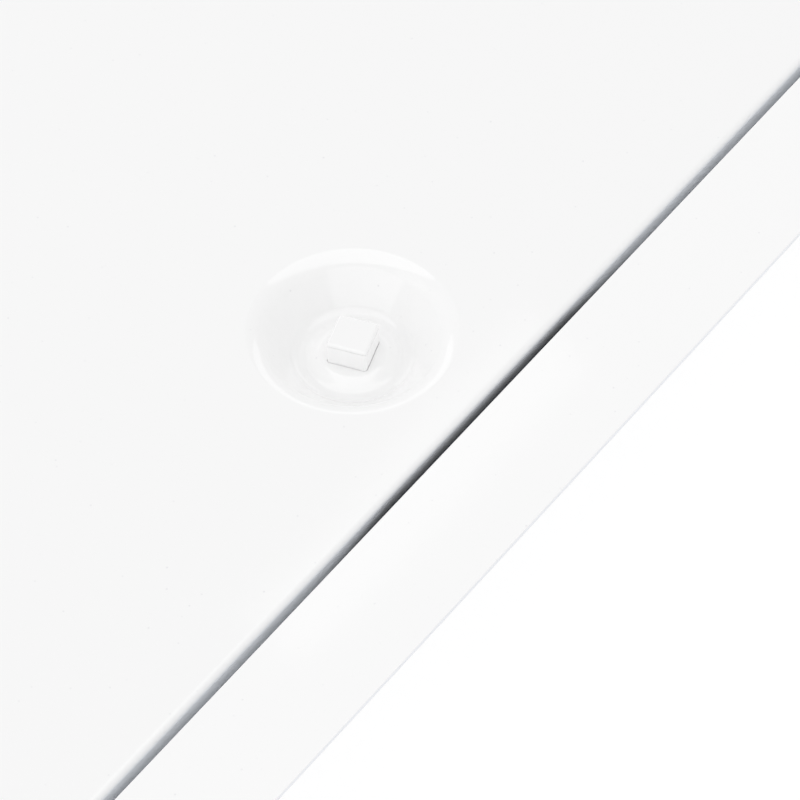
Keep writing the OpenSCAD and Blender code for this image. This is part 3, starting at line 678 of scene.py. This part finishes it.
class ACCESS_PANEL_OT_stops(bpy.types.Operator):
    """Builds the angles that stop the door, their foam seals, and a dark foam buffer by the lock as painted
    shade
    """
    bl_idname = "access_panel.stops"
    bl_label = "Door stops and seals"

    def execute(self, context):
        s = sizes()
        mid = s.sheet / 2
        for kind, finish, soften in (("stop_angle", "white_powder_coat", s.soften),
                                     ("seal_strip", "foam_seal", s.foam_edge)):
            for side, angle in (("lock", 0), ("right", 90), ("left", -90)):
                # Each is drawn inwards from the lock's wall and upwards, and turned to its own wall
                node = f"{kind}_{side}"
                lo, hi = self.box_at_lock(node, angle)
                outer, inner = lo.y + WALL, hi.y + WALL
                if kind == "stop_angle":
                    path = [(inner, hi.z - mid), (mid, hi.z - mid), (mid, lo.z)]
                    outline = strip(path, s.sheet, [s.fold_r + mid])
                else:
                    outline = [(outer, lo.z), (inner, lo.z), (inner, hi.z), (outer, hi.z)]
                bm = prism([(lo.x, d - WALL, z) for d, z in outline],
                           lambda co: Vector((hi.x, co.y, co.z)), soften)
                piece(f"{kind.split('_')[0]}_{side}", turned(bm, angle), finish, "frame", node)
        # The buffer is dark blue-grey foam put into the gap beside the lock as painted shade: it darkens and
        # cools the gap's middle
        lo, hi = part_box("edge_buffer")
        half = s.buffer_top / 2
        ends = [Vector(p) for p in ((lo.x, lo.z), (hi.x, lo.z), (half, hi.z), (-half, hi.z))]
        bm = plate(ends, None, lo.y, hi.y, 0.2 * MM)
        # The plate's Y points up and its Z across the gap
        bmesh.ops.transform(bm, matrix=Matrix(((1, 0, 0), (0, 0, 1), (0, 1, 0))), verts=bm.verts)
        piece("buffer", bm, "foam_seal", "frame", "edge_buffer")
        return {"FINISHED"}

    def box_at_lock(self, node, angle):
        """Two corners of a node's box, turned back by an angle to the lock's wall."""
        back = Matrix.Rotation(math.radians(-angle), 3, "Z")
        a, b = [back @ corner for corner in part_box(node)]
        return [Vector(map(pick, a, b)) for pick in (min, max)]


class ACCESS_PANEL_OT_door(bpy.types.Operator):
    """Builds the door's skin with its folded edges and its pressed dish, and the stiffener behind it"""
    bl_idname = "access_panel.door"
    bl_label = "Door"

    def execute(self, context):
        s = sizes()
        piece("door_skin", self.skin(s), "white_powder_coat", "door", "door_panel")
        lo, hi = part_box("door_stiffener")
        foot, crown, edge = hi.z - s.sheet / 2, lo.z + s.sheet / 2, hi.y
        foot_w, slope_w = 10 * MM, 3 * MM
        web = edge - foot_w
        top = web - slope_w
        outline = strip([(-edge, foot), (-web, foot), (-top, crown), (top, crown), (web, foot), (edge, foot)],
                        s.sheet, [s.sheet] * 4)
        bm = prism([(lo.x, y, z) for y, z in outline], lambda co: Vector((hi.x, co.y, co.z)), s.soften)
        piece("stiffener", bm, "white_powder_coat", "door", "door_stiffener")
        return {"FINISHED"}

    def dish_profile(self, s):
        """Upper face of the dish from its hole out to the flat skin, as radius and height."""
        rim, floor, lead = s.dish_d / 2, FACE - s.dish_depth, math.degrees(s.dish_lead)
        step = s.dish_shoulder_r - s.dish_rim_r
        aside, down = step * math.sin(s.dish_lead), s.dish_rim_r + step * math.cos(s.dish_lead)
        run, drop = rim - s.dish_flat_r + aside, s.dish_depth - down - s.dish_foot_r
        # The wall's slope is the one that meets both the shoulder and the foot
        bends = (s.dish_shoulder_r + s.dish_foot_r) / math.hypot(run, drop)
        slope = math.degrees(math.atan2(drop, run) + math.asin(bends))
        foot = arc(s.dish_flat_r, floor + s.dish_foot_r, s.dish_foot_r, -90, slope - 90, 14)
        shoulder = arc(rim + aside, FACE - down, s.dish_shoulder_r, 90 + slope, 90 + lead, 16)
        lip = arc(rim, FACE - s.dish_rim_r, s.dish_rim_r, 90 + lead, 90, 4)
        # Narrow flat margins beside the arcs keep the shading of the wide flats even
        flat = [Vector((s.lock_hole_d / 2, floor)), Vector((s.dish_flat_r - 0.4 * MM, floor))]
        return flat + foot + shoulder + lip[1:] + [Vector((rim + 0.5 * MM, FACE))]

    def skin(self, s):
        """The skin as one folded sheet."""
        bm = bmesh.new()
        profile = self.dish_profile(s)
        lathe(bm, profile, LOCK_AXIS, closed=False, steps=160)
        reach = profile[-1].x
        rim = [e for e in bm.edges if all(abs((v.co - LOCK_AXIS).xy.length - reach) < WELD for v in e.verts)]
        # Stations around the flat face, each with the direction in which the folded edge leaves it
        cell, margin = 3.4 * MM, 0.5 * MM
        c = HALF_DOOR - s.corner_r
        stations = []
        for k, (sx, sy) in enumerate(QUARTERS):
            for n in arc(0, 0, 1, 90 * k, 90 * k + 90, 10):
                stations.append((Vector((sx * c, sy * c)) + n * (s.corner_r - s.edge_r), n))
            if k in (1, 3):
                # Two more beside the hole for the pin, in the order that goes round
                side = sx * (HALF_DOOR - s.edge_r)
                for way in (1, -1) if k == 1 else (-1, 1):
                    stations.append((Vector((side, HINGE.y + way * cell)), Vector((sx, 0))))
        bend = arc(0, FACE - s.edge_r, s.edge_r, 90, 0, 14)
        fold = [Vector((s.edge_r, z)) for z in (HINGE.z + cell, HINGE.z - cell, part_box("door_panel")[0].z)]
        mark = bm.verts.layers.int.new("station")
        edges = loop(bm, [(*(p - n * margin), FACE) for p, n in stations])
        for i, e in enumerate(edges):
            e.verts[0][mark] = i
        flat = edges
        for d, z in bend + fold:
            moved = drawn_out(bm, edges)
            for v in moved:
                p, n = stations[v[mark]]
                v.co = (*(p + n * d), z)
            edges = edges_of(moved)
        fill(bm, rim + flat)
        bmesh.ops.recalc_face_normals(bm, faces=bm.faces)
        if max(bm.faces, key=lambda f: f.calc_area()).normal.z < 0:
            bmesh.ops.reverse_faces(bm, faces=bm.faces)
        for side in (-1, 1):
            hole = Vector((side * HALF_DOOR, HINGE.y, HINGE.z))
            walls = [f for f in flat_faces(bm, hole, X, cell) if f.calc_center_median().x * side > 0]
            ring_holes(bm, walls, hole, s.pin_hole_d / 2)
        bmesh.ops.solidify(bm, geom=bm.faces[:], thickness=s.sheet)
        return bm


class ACCESS_PANEL_OT_spindle(bpy.types.Operator):
    """Builds the key stud on its round head, and the plated shank behind it"""
    bl_idname = "access_panel.spindle"
    bl_label = "Lock spindle"

    def execute(self, context):
        s = sizes()
        lo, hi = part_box("lock_spindle")
        # The stud stands just clear of the dish's floor, and the thin rim of the head reaches down to it
        floor = FACE - s.dish_depth
        foot, skirt = floor + 0.1 * MM, floor + 0.01 * MM
        stud = self.stud(s, foot, hi.z)
        add_mesh(stud, self.head(s, skirt, foot + s.head_t, (hi.x - lo.x) / 2))
        piece("key_stud", on_lock(stud, STUD_ANGLE), "white_powder_coat", "lock", "lock_spindle")
        shank = self.shank(s, foot, lo.z)
        piece("spindle_shank", on_lock(shank, STUD_ANGLE), "zinc_plated_steel", "lock", "lock_spindle")
        return {"FINISHED"}

    def stud(self, s, foot, end):
        """A square bar with rounded upright edges, a rounded end and a fine line under it."""
        shoulder, deep = end - s.stud_chamfer, 0.35 * MM
        line = shoulder - 0.03 * MM
        rim = [(0, foot), (0, line - s.end_line), (deep, line - s.end_line), (deep, line), (0, line)]
        rim += [(s.stud_chamfer - p.x, p.y) for p in arc(0, shoulder, s.stud_chamfer, 0, 90, 4)]
        rings = []
        for inset, z in rim:
            width = s.stud_w - 2 * inset
            rings.append([(p.x, p.y, z) for p in round_rectangle(width, width, s.stud_edge_r - inset)])
        return loft(bmesh.new(), rings, capped=True)

    def head(self, s, skirt, top, r):
        """A disc with a sloping edge, and a fine crease around the stud."""
        flat = s.head_flat_d / 2
        rim = [Vector((flat, top))]
        steps = 16
        for i in range(steps + 1):
            t = i / steps
            fall = t * t * (3 - 2 * t)
            rim.append(Vector((r - s.head_slope * (1 - t), skirt + (top - skirt) * (1 - fall))))
        bm = bmesh.new()
        lathe(bm, rim + [Vector((0, skirt))], Vector(), closed=False, steps=128)
        edge = [v for v in bm.verts if abs(v.co.z - top) < WELD and abs(v.co.xy.length - flat) < WELD]
        gap = s.stud_w + 2 * s.crease
        hole = loop(bm, [(p.x, p.y, top) for p in round_rectangle(gap, gap, s.stud_edge_r + s.crease)])
        fill(bm, edges_of(edge) + hole)
        bottom = drawn_out(bm, hole)
        for v in bottom:
            v.co.z -= s.crease_depth
        bmesh.ops.edgeloop_fill(bm, edges=edges_of(bottom))
        return bm

    def shank(self, s, head, end):
        """The round shank, the square seat of the cam and the threaded end."""
        cam_lo, cam_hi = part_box("latch_cam")
        shoulder, ease = cam_hi.z + 0.1 * MM, 0.3 * MM
        r = s.shank_d / 2
        bm = bmesh.new()
        lathe(bm, [(0, head), (r, head), (r, shoulder + ease), (r - ease, shoulder), (0, shoulder)],
              Vector(), closed=False)
        size = Matrix.Diagonal((s.stud_w, s.stud_w, shoulder - cam_lo.z, 1))
        place = Matrix.Translation((0, 0, (cam_lo.z + shoulder) / 2))
        square = bmesh.ops.create_cube(bm, size=1, matrix=place @ size)["verts"]
        upright = [e for e in edges_of(square) if abs(e.verts[0].co.z - e.verts[1].co.z) > MM]
        round_off(bm, upright, s.stud_edge_r, 4)
        self.thread(bm, s, cam_lo.z, end)
        return bm

    def thread(self, into, s, top, end):
        """A thread swept as one V along a helix, cut off at both ends and tapered at the free end."""
        bm = bmesh.new()
        pitch, crest = s.thread_pitch, s.thread_d / 2
        root = crest - 0.6 * pitch
        start = end - 1.5 * pitch
        profile = [(root, 0), (root + 0.05 * pitch, 0.06), (crest - 0.04 * pitch, 0.44), (crest, 0.5),
                   (crest - 0.04 * pitch, 0.56), (root + 0.05 * pitch, 0.94), (root, 1)]
        verts = [bm.verts.new((r, 0, start + h * pitch)) for r, h in profile]
        edges = [bm.edges.new(pair) for pair in zip(verts, verts[1:])]
        turns = math.ceil((top - start) / pitch) + 1
        steps = 32
        bmesh.ops.spin(bm, geom=verts + edges, cent=(0, 0, 0), axis=Z, dvec=Z * pitch / steps,
                       angle=TURN * turns, steps=steps * turns, use_merge=False)
        bmesh.ops.remove_doubles(bm, verts=bm.verts, dist=10 * WELD)
        for z, way in ((end, -1), (top, 1)):
            cut(bm, Z * z, Z * way, clear_outer=True)
            rim = [e for e in bm.edges if e.is_boundary and all(abs(v.co.z - z) < WELD for v in e.verts)]
            bmesh.ops.edgeloop_fill(bm, edges=rim)
        for v in bm.verts:
            limit = root - 0.1 * MM + (v.co.z - end)
            if v.co.xy.length > limit:
                v.co.xy *= limit / v.co.xy.length
        add_mesh(into, bm)


class ACCESS_PANEL_OT_latch(bpy.types.Operator):
    """Builds the bush behind the dish, the latch cam, its washers and its nut"""
    bl_idname = "access_panel.latch"
    bl_label = "Latch"

    def execute(self, context):
        s = sizes()
        bore = s.lock_bore_d / 2
        lo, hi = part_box("lock_bush")
        seat = FACE - s.dish_depth - s.sheet
        # The bush has a body, a flange behind the dish's floor and a short spigot in the floor's hole
        body, spigot, flange_t = 7.65 * MM, 6.1 * MM, 1.5 * MM
        profile = [(bore, lo.z), (body, lo.z), (body, seat - flange_t), (hi.x, seat - flange_t),
                   (hi.x, seat), (spigot, seat), (spigot, hi.z), (bore, hi.z)]
        bush = lathe(bmesh.new(), eased(profile, 0.2 * MM), LOCK_AXIS)
        piece("lock_bush_nylon", bush, "nylon", "door", "lock_bush")

        lo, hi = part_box("spring_washer")
        t = 0.5 * MM
        profile = [(bore, hi.z - t), (hi.x, lo.z), (hi.x, lo.z + t), (bore, hi.z)]
        washer = lathe(bmesh.new(), eased(profile, 0.1 * MM), LOCK_AXIS)
        piece("wave_washer", washer, "spring_steel", "lock", "spring_washer")

        lo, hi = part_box("latch_cam")
        boss, half, reach, tip = 9 * MM, 7 * MM, 25 * MM, 2 * MM
        meet = math.degrees(math.asin(half / boss))
        outline = (arc(0, 0, boss, meet, 360 - meet, 40) + arc(reach - tip, tip - half, tip, -90, 0, 8)
                   + arc(reach - tip, half - tip, tip, 0, 90, 8))
        hole = round_rectangle(s.stud_w + 0.2 * MM, s.stud_w + 0.2 * MM, s.stud_edge_r)
        cam = plate(outline, hole, lo.z, hi.z, 0.3 * MM)
        piece("cam", on_lock(cam, STUD_ANGLE + math.pi), "zinc_plated_steel", "lock", "latch_cam")

        lo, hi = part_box("split_washer")
        outer, inner, half_gap = 5.5 * MM, 3.1 * MM, 0.5 * MM
        a, b = math.degrees(half_gap / outer), math.degrees(half_gap / inner)
        ring = arc(0, 0, outer, a, 360 - a, 64) + arc(0, 0, inner, 360 - b, b, 48)
        washer = plate(ring, None, lo.z, hi.z, 0.2 * MM)
        piece("lock_washer", on_lock(washer, STUD_ANGLE), "spring_steel", "lock", "split_washer")

        lo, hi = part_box("cam_nut")
        nut = self.nut(lo.z, hi.z, s.nut_w, s.thread_d / 2)
        piece("nut", on_lock(nut, STUD_ANGLE), "zinc_plated_steel", "lock", "cam_nut")
        return {"FINISHED"}

    def nut(self, low, high, flats, bore):
        """A hexagon nut with chamfered corners and a countersunk bore."""
        steps = 96
        ease, rim, chamfer = 0.4 * MM, 0.475 * flats, math.radians(30)
        spots = [TURN * i / steps for i in range(steps)]
        hexagon = [flats / 2 / math.cos(a % (math.pi / 3) - math.pi / 6) for a in spots]
        drop = [(r - rim) * math.tan(chamfer) for r in hexagon]

        def ring(radii, heights):
            return [(r * math.cos(a), r * math.sin(a), h) for a, r, h in zip(spots, radii, heights)]

        def level(r, h):
            return ring([r] * steps, [h] * steps)

        return loft(bmesh.new(), [
            level(bore, low + ease), level(bore, high - ease), level(bore + ease, high), level(rim, high),
            ring(hexagon, [high - d for d in drop]), ring(hexagon, [low + d for d in drop]), level(rim, low),
            level(bore + ease, low)])


class ACCESS_PANEL_OT_hinges(bpy.types.Operator):
    """Builds the hinge brackets, the sprung pins with their clips, and the pivot bushes"""
    bl_idname = "access_panel.hinges"
    bl_label = "Hinges"

    def execute(self, context):
        s = sizes()
        for side, x in (("right", 1), ("left", -1)):
            for name, bm, finish, body, node in (
                    ("bracket_", self.bracket(s), "zinc_plated_steel", "door", "hinge_bracket_"),
                    ("pin_", self.pin(s), "zinc_plated_steel", side + "_pin", "hinge_pin_"),
                    ("clip_", self.clip(), "spring_steel", side + "_pin", "pin_clip_"),
                    ("bush_", self.bush(s), "nylon", "frame", "pivot_bush_"),
                    ("spring_", self.spring(s), "spring_steel", "door", "hinge_spring_")):
                obj = piece(name + side, flipped(bm, x, 1), finish, body, node + side)
            # The spring is the last piece, and shortens when its pin is pulled
            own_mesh(obj)
        return {"FINISHED"}

    def bracket(self, s):
        """A strip folded into two ears that guide the pin."""
        lo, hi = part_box("hinge_bracket_right")
        mid = s.bracket_t / 2
        ears = (lo.x + mid, hi.x - mid)
        path = [(ears[0], lo.z), (ears[0], hi.z - mid), (ears[1], hi.z - mid), (ears[1], lo.z)]
        outline = strip(path, s.bracket_t, [s.bracket_t] * 2)
        bm = prism([(x, lo.y, z) for x, z in outline], lambda co: Vector((co.x, hi.y, co.z)), s.soften)
        for x in ears:
            centre = Vector((x, HINGE.y, HINGE.z))
            punch(bm, centre, X, s.pin_hole_d / 2, 3.0 * MM, 0.15 * MM, s.bracket_t)
        return bm

    def pin(self, s):
        """A pin with a tapered nose and a clip groove, bent at its other end into an arm to pull it by."""
        lo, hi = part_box("hinge_pin_right")
        clip_lo, clip_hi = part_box("pin_clip_right")
        r = HINGE.z - lo.z
        bend = lo.x + r + s.pin_bend_r
        groove, nose = r - 0.4 * MM, 0.8 * MM
        play = 0.05 * MM
        profile = [(0, hi.x), (r - nose, hi.x), (r - nose + 0.1 * MM, hi.x - 0.05 * MM), (r, hi.x - nose),
                   (r, clip_hi.x + play), (groove, clip_hi.x + play), (groove, clip_lo.x - play),
                   (r, clip_lo.x - play), (r, bend)]
        bm = lathe(bmesh.new(), profile, PIVOT_AXIS, X, closed=False, steps=32)
        bmesh.ops.remove_doubles(bm, verts=bm.verts, dist=WELD)
        ring = [v for v in bm.verts if abs(v.co.x - bend) < WELD]
        swept = bmesh.ops.spin(bm, geom=ring + edges_of(ring), cent=(bend, HINGE.y - s.pin_bend_r, HINGE.z),
                               axis=Z, angle=TURN / 4, steps=12, use_merge=False)
        ring = new_verts(swept["geom_last"])
        middle = Vector((lo.x + r, HINGE.y - s.pin_bend_r, HINGE.z))
        # The arm's tip is a half ball, drawn ring by ring as the last ring draws in
        tip, rings, share = lo.y + r, 8, 1.0
        for k in range(rings + 1):
            turn = TURN / 4 * k / rings
            ring = drawn_out(bm, edges_of(ring))
            squeeze = math.cos(turn) / share
            for v in ring:
                v.co = Vector((middle.x + (v.co.x - middle.x) * squeeze, tip - r * math.sin(turn),
                               middle.z + (v.co.z - middle.z) * squeeze))
            share = math.cos(turn)
        return bm

    def clip(self):
        """An open ring with a mouth, in the pin's groove."""
        lo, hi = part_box("pin_clip_right")
        outer, inner, mouth = (hi.y - lo.y) / 2, 1.65 * MM, 1.5 * MM
        a, b = math.degrees(math.asin(mouth / outer)), math.degrees(math.asin(mouth / inner))
        outline = arc(0, 0, outer, a, 360 - a, 40) + arc(0, 0, inner, 360 - b, b, 24)
        bm = plate(outline, None, 0, hi.x - lo.x, 0.1 * MM)
        # The plate's X, where its mouth is, points down and its Z along the pin
        stand = Matrix(((0, 0, 1), (0, 1, 0), (-1, 0, 0))).to_4x4()
        place = Matrix.Translation((lo.x, HINGE.y, HINGE.z)) @ stand
        bmesh.ops.transform(bm, matrix=place, verts=bm.verts)
        return bm

    def bush(self, s):
        """A bush pushed into the frame wall, with its collar inside and its thin tail outside."""
        lo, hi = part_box("pivot_bush_right")
        bore, body, tail, collar = s.pin_hole_d / 2, 3.6 * MM, 2.9 * MM, (hi.y - lo.y) / 2
        out = WALL + s.sheet
        profile = [(bore, lo.x), (collar, lo.x), (collar, WALL), (body, WALL), (body, out), (tail, out),
                   (tail, hi.x), (bore, hi.x)]
        return lathe(bmesh.new(), eased(profile, 0.12 * MM), PIVOT_AXIS, X, steps=48)

    def spring(self, s):
        """A coil of round wire with a closed turn at each end."""
        lo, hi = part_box("hinge_spring_right")
        r = (hi.z - lo.z - s.wire) / 2
        close = 1.05 * s.wire
        open_pitch = (hi.x - lo.x - s.wire - 2 * close) / s.turns
        bm = bmesh.new()
        place = Matrix.Translation((lo.x + s.wire / 2, HINGE.y + r, HINGE.z))
        circle = bmesh.ops.create_circle(bm, cap_ends=True, segments=10, radius=s.wire / 2, matrix=place)
        ring, steps = circle["verts"], 28
        for pitch, turns in ((close, 1), (open_pitch, s.turns), (close, 1)):
            coil = bmesh.ops.spin(bm, geom=ring + edges_of(ring), cent=(lo.x, HINGE.y, HINGE.z), axis=X,
                                  dvec=X * pitch / steps, angle=TURN * turns, steps=steps * turns,
                                  use_merge=False)
            ring = new_verts(coil["geom_last"])
        bmesh.ops.edgeloop_fill(bm, edges=edges_of(ring))
        return bm


class ACCESS_PANEL_OT_stage(bpy.types.Operator):
    """Sets up the pale floor, the soft studio light and the camera"""
    bl_idname = "access_panel.stage"
    bl_label = "Studio"

    def execute(self, context):
        self.floor()
        self.world(context.scene)
        self.camera(context.scene)
        across = self.axes()[0]
        self.lamp("left softbox", DISH, (-0.95, 0.75, 1.1), across, 0.9, 0.9, 0.3)
        # White cards that only the gloss shows: over the dish, behind it, by the camera and over the flange
        flange = Vector((-45, -163.4, 36)) * MM
        for card in (
                ("overhead card", DISH, (0, 0, 1.2), across, 1.4, 1.4, 1.2),
                ("low card", DISH, (1.05, 0.81, 0.68), across, 2.2, 0.45, 0.9),
                ("front card", DISH, (-1.08, -0.386, 0.964), across, 2.2, 0.5, 0.7),
                ("strip card", flange, (0.69, 0.53, 1.09), X, 0.18, 0.04, 0.7)):
            self.lamp(*card).visible_diffuse = False
        context.scene.view_settings.view_transform = "Standard"
        return {"FINISHED"}

    def floor(self):
        """A wide pale floor, white to the camera except in the panel's shadow and inside the frame."""
        bm = bmesh.new()
        below = Matrix.Translation((0, 0, -0.2 * MM))
        bmesh.ops.create_circle(bm, cap_ends=True, segments=96, radius=9.0, matrix=below)
        obj = shown("floor", meshed("floor", bm))
        material, tree, where, surface = new_material("pale studio floor")
        path = tree.nodes.new("ShaderNodeLightPath").outputs
        # Light falls on a pale matt floor, and what sees it directly finds it white with a faint shadow
        matt = put(tree, "ShaderNodeBsdfDiffuse", Color=(*colours().floor, 1)).outputs["BSDF"]
        faint = put(tree, "ShaderNodeBsdfDiffuse", Color=(0.11, 0.11, 0.11, 1)).outputs["BSDF"]
        glow = put(tree, "ShaderNodeEmission", Color=(1, 1, 1, 1), Strength=0.92).outputs["Emission"]
        bright = wired(tree, "ShaderNodeAddShader", faint, glow)
        # Inside the frame the floor stays matt, so that holes in the closed frame look dark
        spread = put(tree, "ShaderNodeVectorMath", {"operation": "ABSOLUTE"}, Vector=where).outputs["Vector"]
        sides = put(tree, "ShaderNodeSeparateXYZ", Vector=spread).outputs
        away = wired(tree, "ShaderNodeMath", sides["X"], sides["Y"], operation="MAXIMUM")
        outside = ramp(tree, away, WALL, WALL + MM, 0.0, 1.0)
        seen = wired(tree, "ShaderNodeMath", path["Is Camera Ray"], outside, operation="MULTIPLY")
        tree.links.new(wired(tree, "ShaderNodeMixShader", seen, matt, bright), surface)
        obj.data.materials.append(material)

    def world(self, scene):
        """An even light tent, a little brighter to the left of the camera, that the camera sees white."""
        scene.world = bpy.data.worlds.new("soft studio")
        scene.world.use_nodes = True
        tree = scene.world.node_tree
        tree.nodes.clear()
        path = tree.nodes.new("ShaderNodeLightPath").outputs
        toward = tree.nodes.new("ShaderNodeTexCoord").outputs["Generated"]
        left = put(tree, "ShaderNodeVectorMath", {"operation": "DOT_PRODUCT"}, Vector=toward)
        left.inputs[1].default_value = -self.axes()[0]
        glow = ramp(tree, left.outputs["Value"], -1.0, 1.0, 0.885, 0.995)
        sky, white = [put(tree, "ShaderNodeBackground", Color=(1, 1, 1, 1), Strength=strength).outputs[0]
                      for strength in (glow, 1.0)]
        out = tree.nodes.new("ShaderNodeOutputWorld").inputs["Surface"]
        tree.links.new(wired(tree, "ShaderNodeMixShader", path["Is Camera Ray"], sky, white), out)

    def lamp(self, name, target, offset, along, long, wide, radiance):
        """A flat softbox, its length along a direction, that faces its target and shines with a radiance."""
        light = bpy.data.lights.new(name, "AREA")
        light.shape = "RECTANGLE" if long > 4 * wide else "ELLIPSE"
        light.size, light.size_y = long, wide
        share = 1.0 if light.shape == "RECTANGLE" else math.pi / 4
        light.energy = radiance * math.pi * long * wide * share
        away = Vector(offset).normalized()
        along = (along - along.dot(away) * away).normalized()
        obj = self.aimed(name, light, (along, away.cross(along), away), target + Vector(offset))
        obj.visible_camera = False
        return obj

    def aimed(self, name, data, axes, at):
        """A new object at a place, with its X, Y and Z along three axes."""
        obj = shown(name, data)
        obj.matrix_world = Matrix(axes).transposed().to_4x4()
        obj.location = at
        return obj

    def axes(self):
        """Right, up and back of the camera, which looks over the lock edge from its left, tipped a little."""
        a, e, roll = math.radians(-52.256), math.radians(51.25), math.radians(-0.85)
        back = Vector((math.sin(a) * math.cos(e), -math.cos(a) * math.cos(e), math.sin(e)))
        right = Vector((math.cos(a), math.sin(a), 0))
        up = back.cross(right)
        cos, sin = math.cos(roll), math.sin(roll)
        return cos * right + sin * up, cos * up - sin * right, back

    def camera(self, scene):
        """A long lens on the lock."""
        lens = bpy.data.cameras.new("camera")
        lens.lens, lens.sensor_width = 223.4, 36.0
        lens.clip_start, lens.clip_end = 0.02, 60.0
        right, up, back = self.axes()
        aside, down, away = 7.86 * MM, 11.56 * MM, 824.4 * MM
        at = DISH + aside * right - down * up + away * back
        scene.camera = self.aimed("camera", lens, (right, up, back), at)


STEPS = (ACCESS_PANEL_OT_rails, ACCESS_PANEL_OT_corners, ACCESS_PANEL_OT_stops, ACCESS_PANEL_OT_door,
         ACCESS_PANEL_OT_spindle, ACCESS_PANEL_OT_latch, ACCESS_PANEL_OT_hinges, ACCESS_PANEL_OT_stage)


class ACCESS_PANEL_PT_sidebar(bpy.types.Panel):
    """Lists the steps that build the panel, and its sizes and colours"""
    bl_idname = "ACCESS_PANEL_PT_sidebar"
    bl_label = "Ceiling access panel"
    bl_space_type = "VIEW_3D"
    bl_region_type = "UI"
    bl_category = "Access Panel"

    def draw(self, context):
        for step in STEPS:
            self.layout.operator(step.bl_idname)
        for group in (context.scene.access_panel_sizes, context.scene.access_panel_colours):
            box = self.layout.box()
            for key in group.__annotations__:
                box.prop(group, key)


CLASSES = (AccessPanelSizes, AccessPanelColours) + STEPS + (ACCESS_PANEL_PT_sidebar,)


def register():
    for c in CLASSES:
        bpy.utils.register_class(c)
    bpy.types.Scene.access_panel_sizes = PointerProperty(type=AccessPanelSizes)
    bpy.types.Scene.access_panel_colours = PointerProperty(type=AccessPanelColours)


def unregister():
    del bpy.types.Scene.access_panel_colours
    del bpy.types.Scene.access_panel_sizes
    for c in reversed(CLASSES):
        bpy.utils.unregister_class(c)


def main():
    """Builds the whole panel."""
    register()
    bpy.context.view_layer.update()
    bpy.ops.access_panel.rails()
    bpy.ops.access_panel.corners()
    bpy.ops.access_panel.stops()
    bpy.ops.access_panel.door()
    bpy.ops.access_panel.spindle()
    bpy.ops.access_panel.latch()
    bpy.ops.access_panel.hinges()
    bpy.ops.access_panel.stage()


if __name__ == "__main__":
    main()
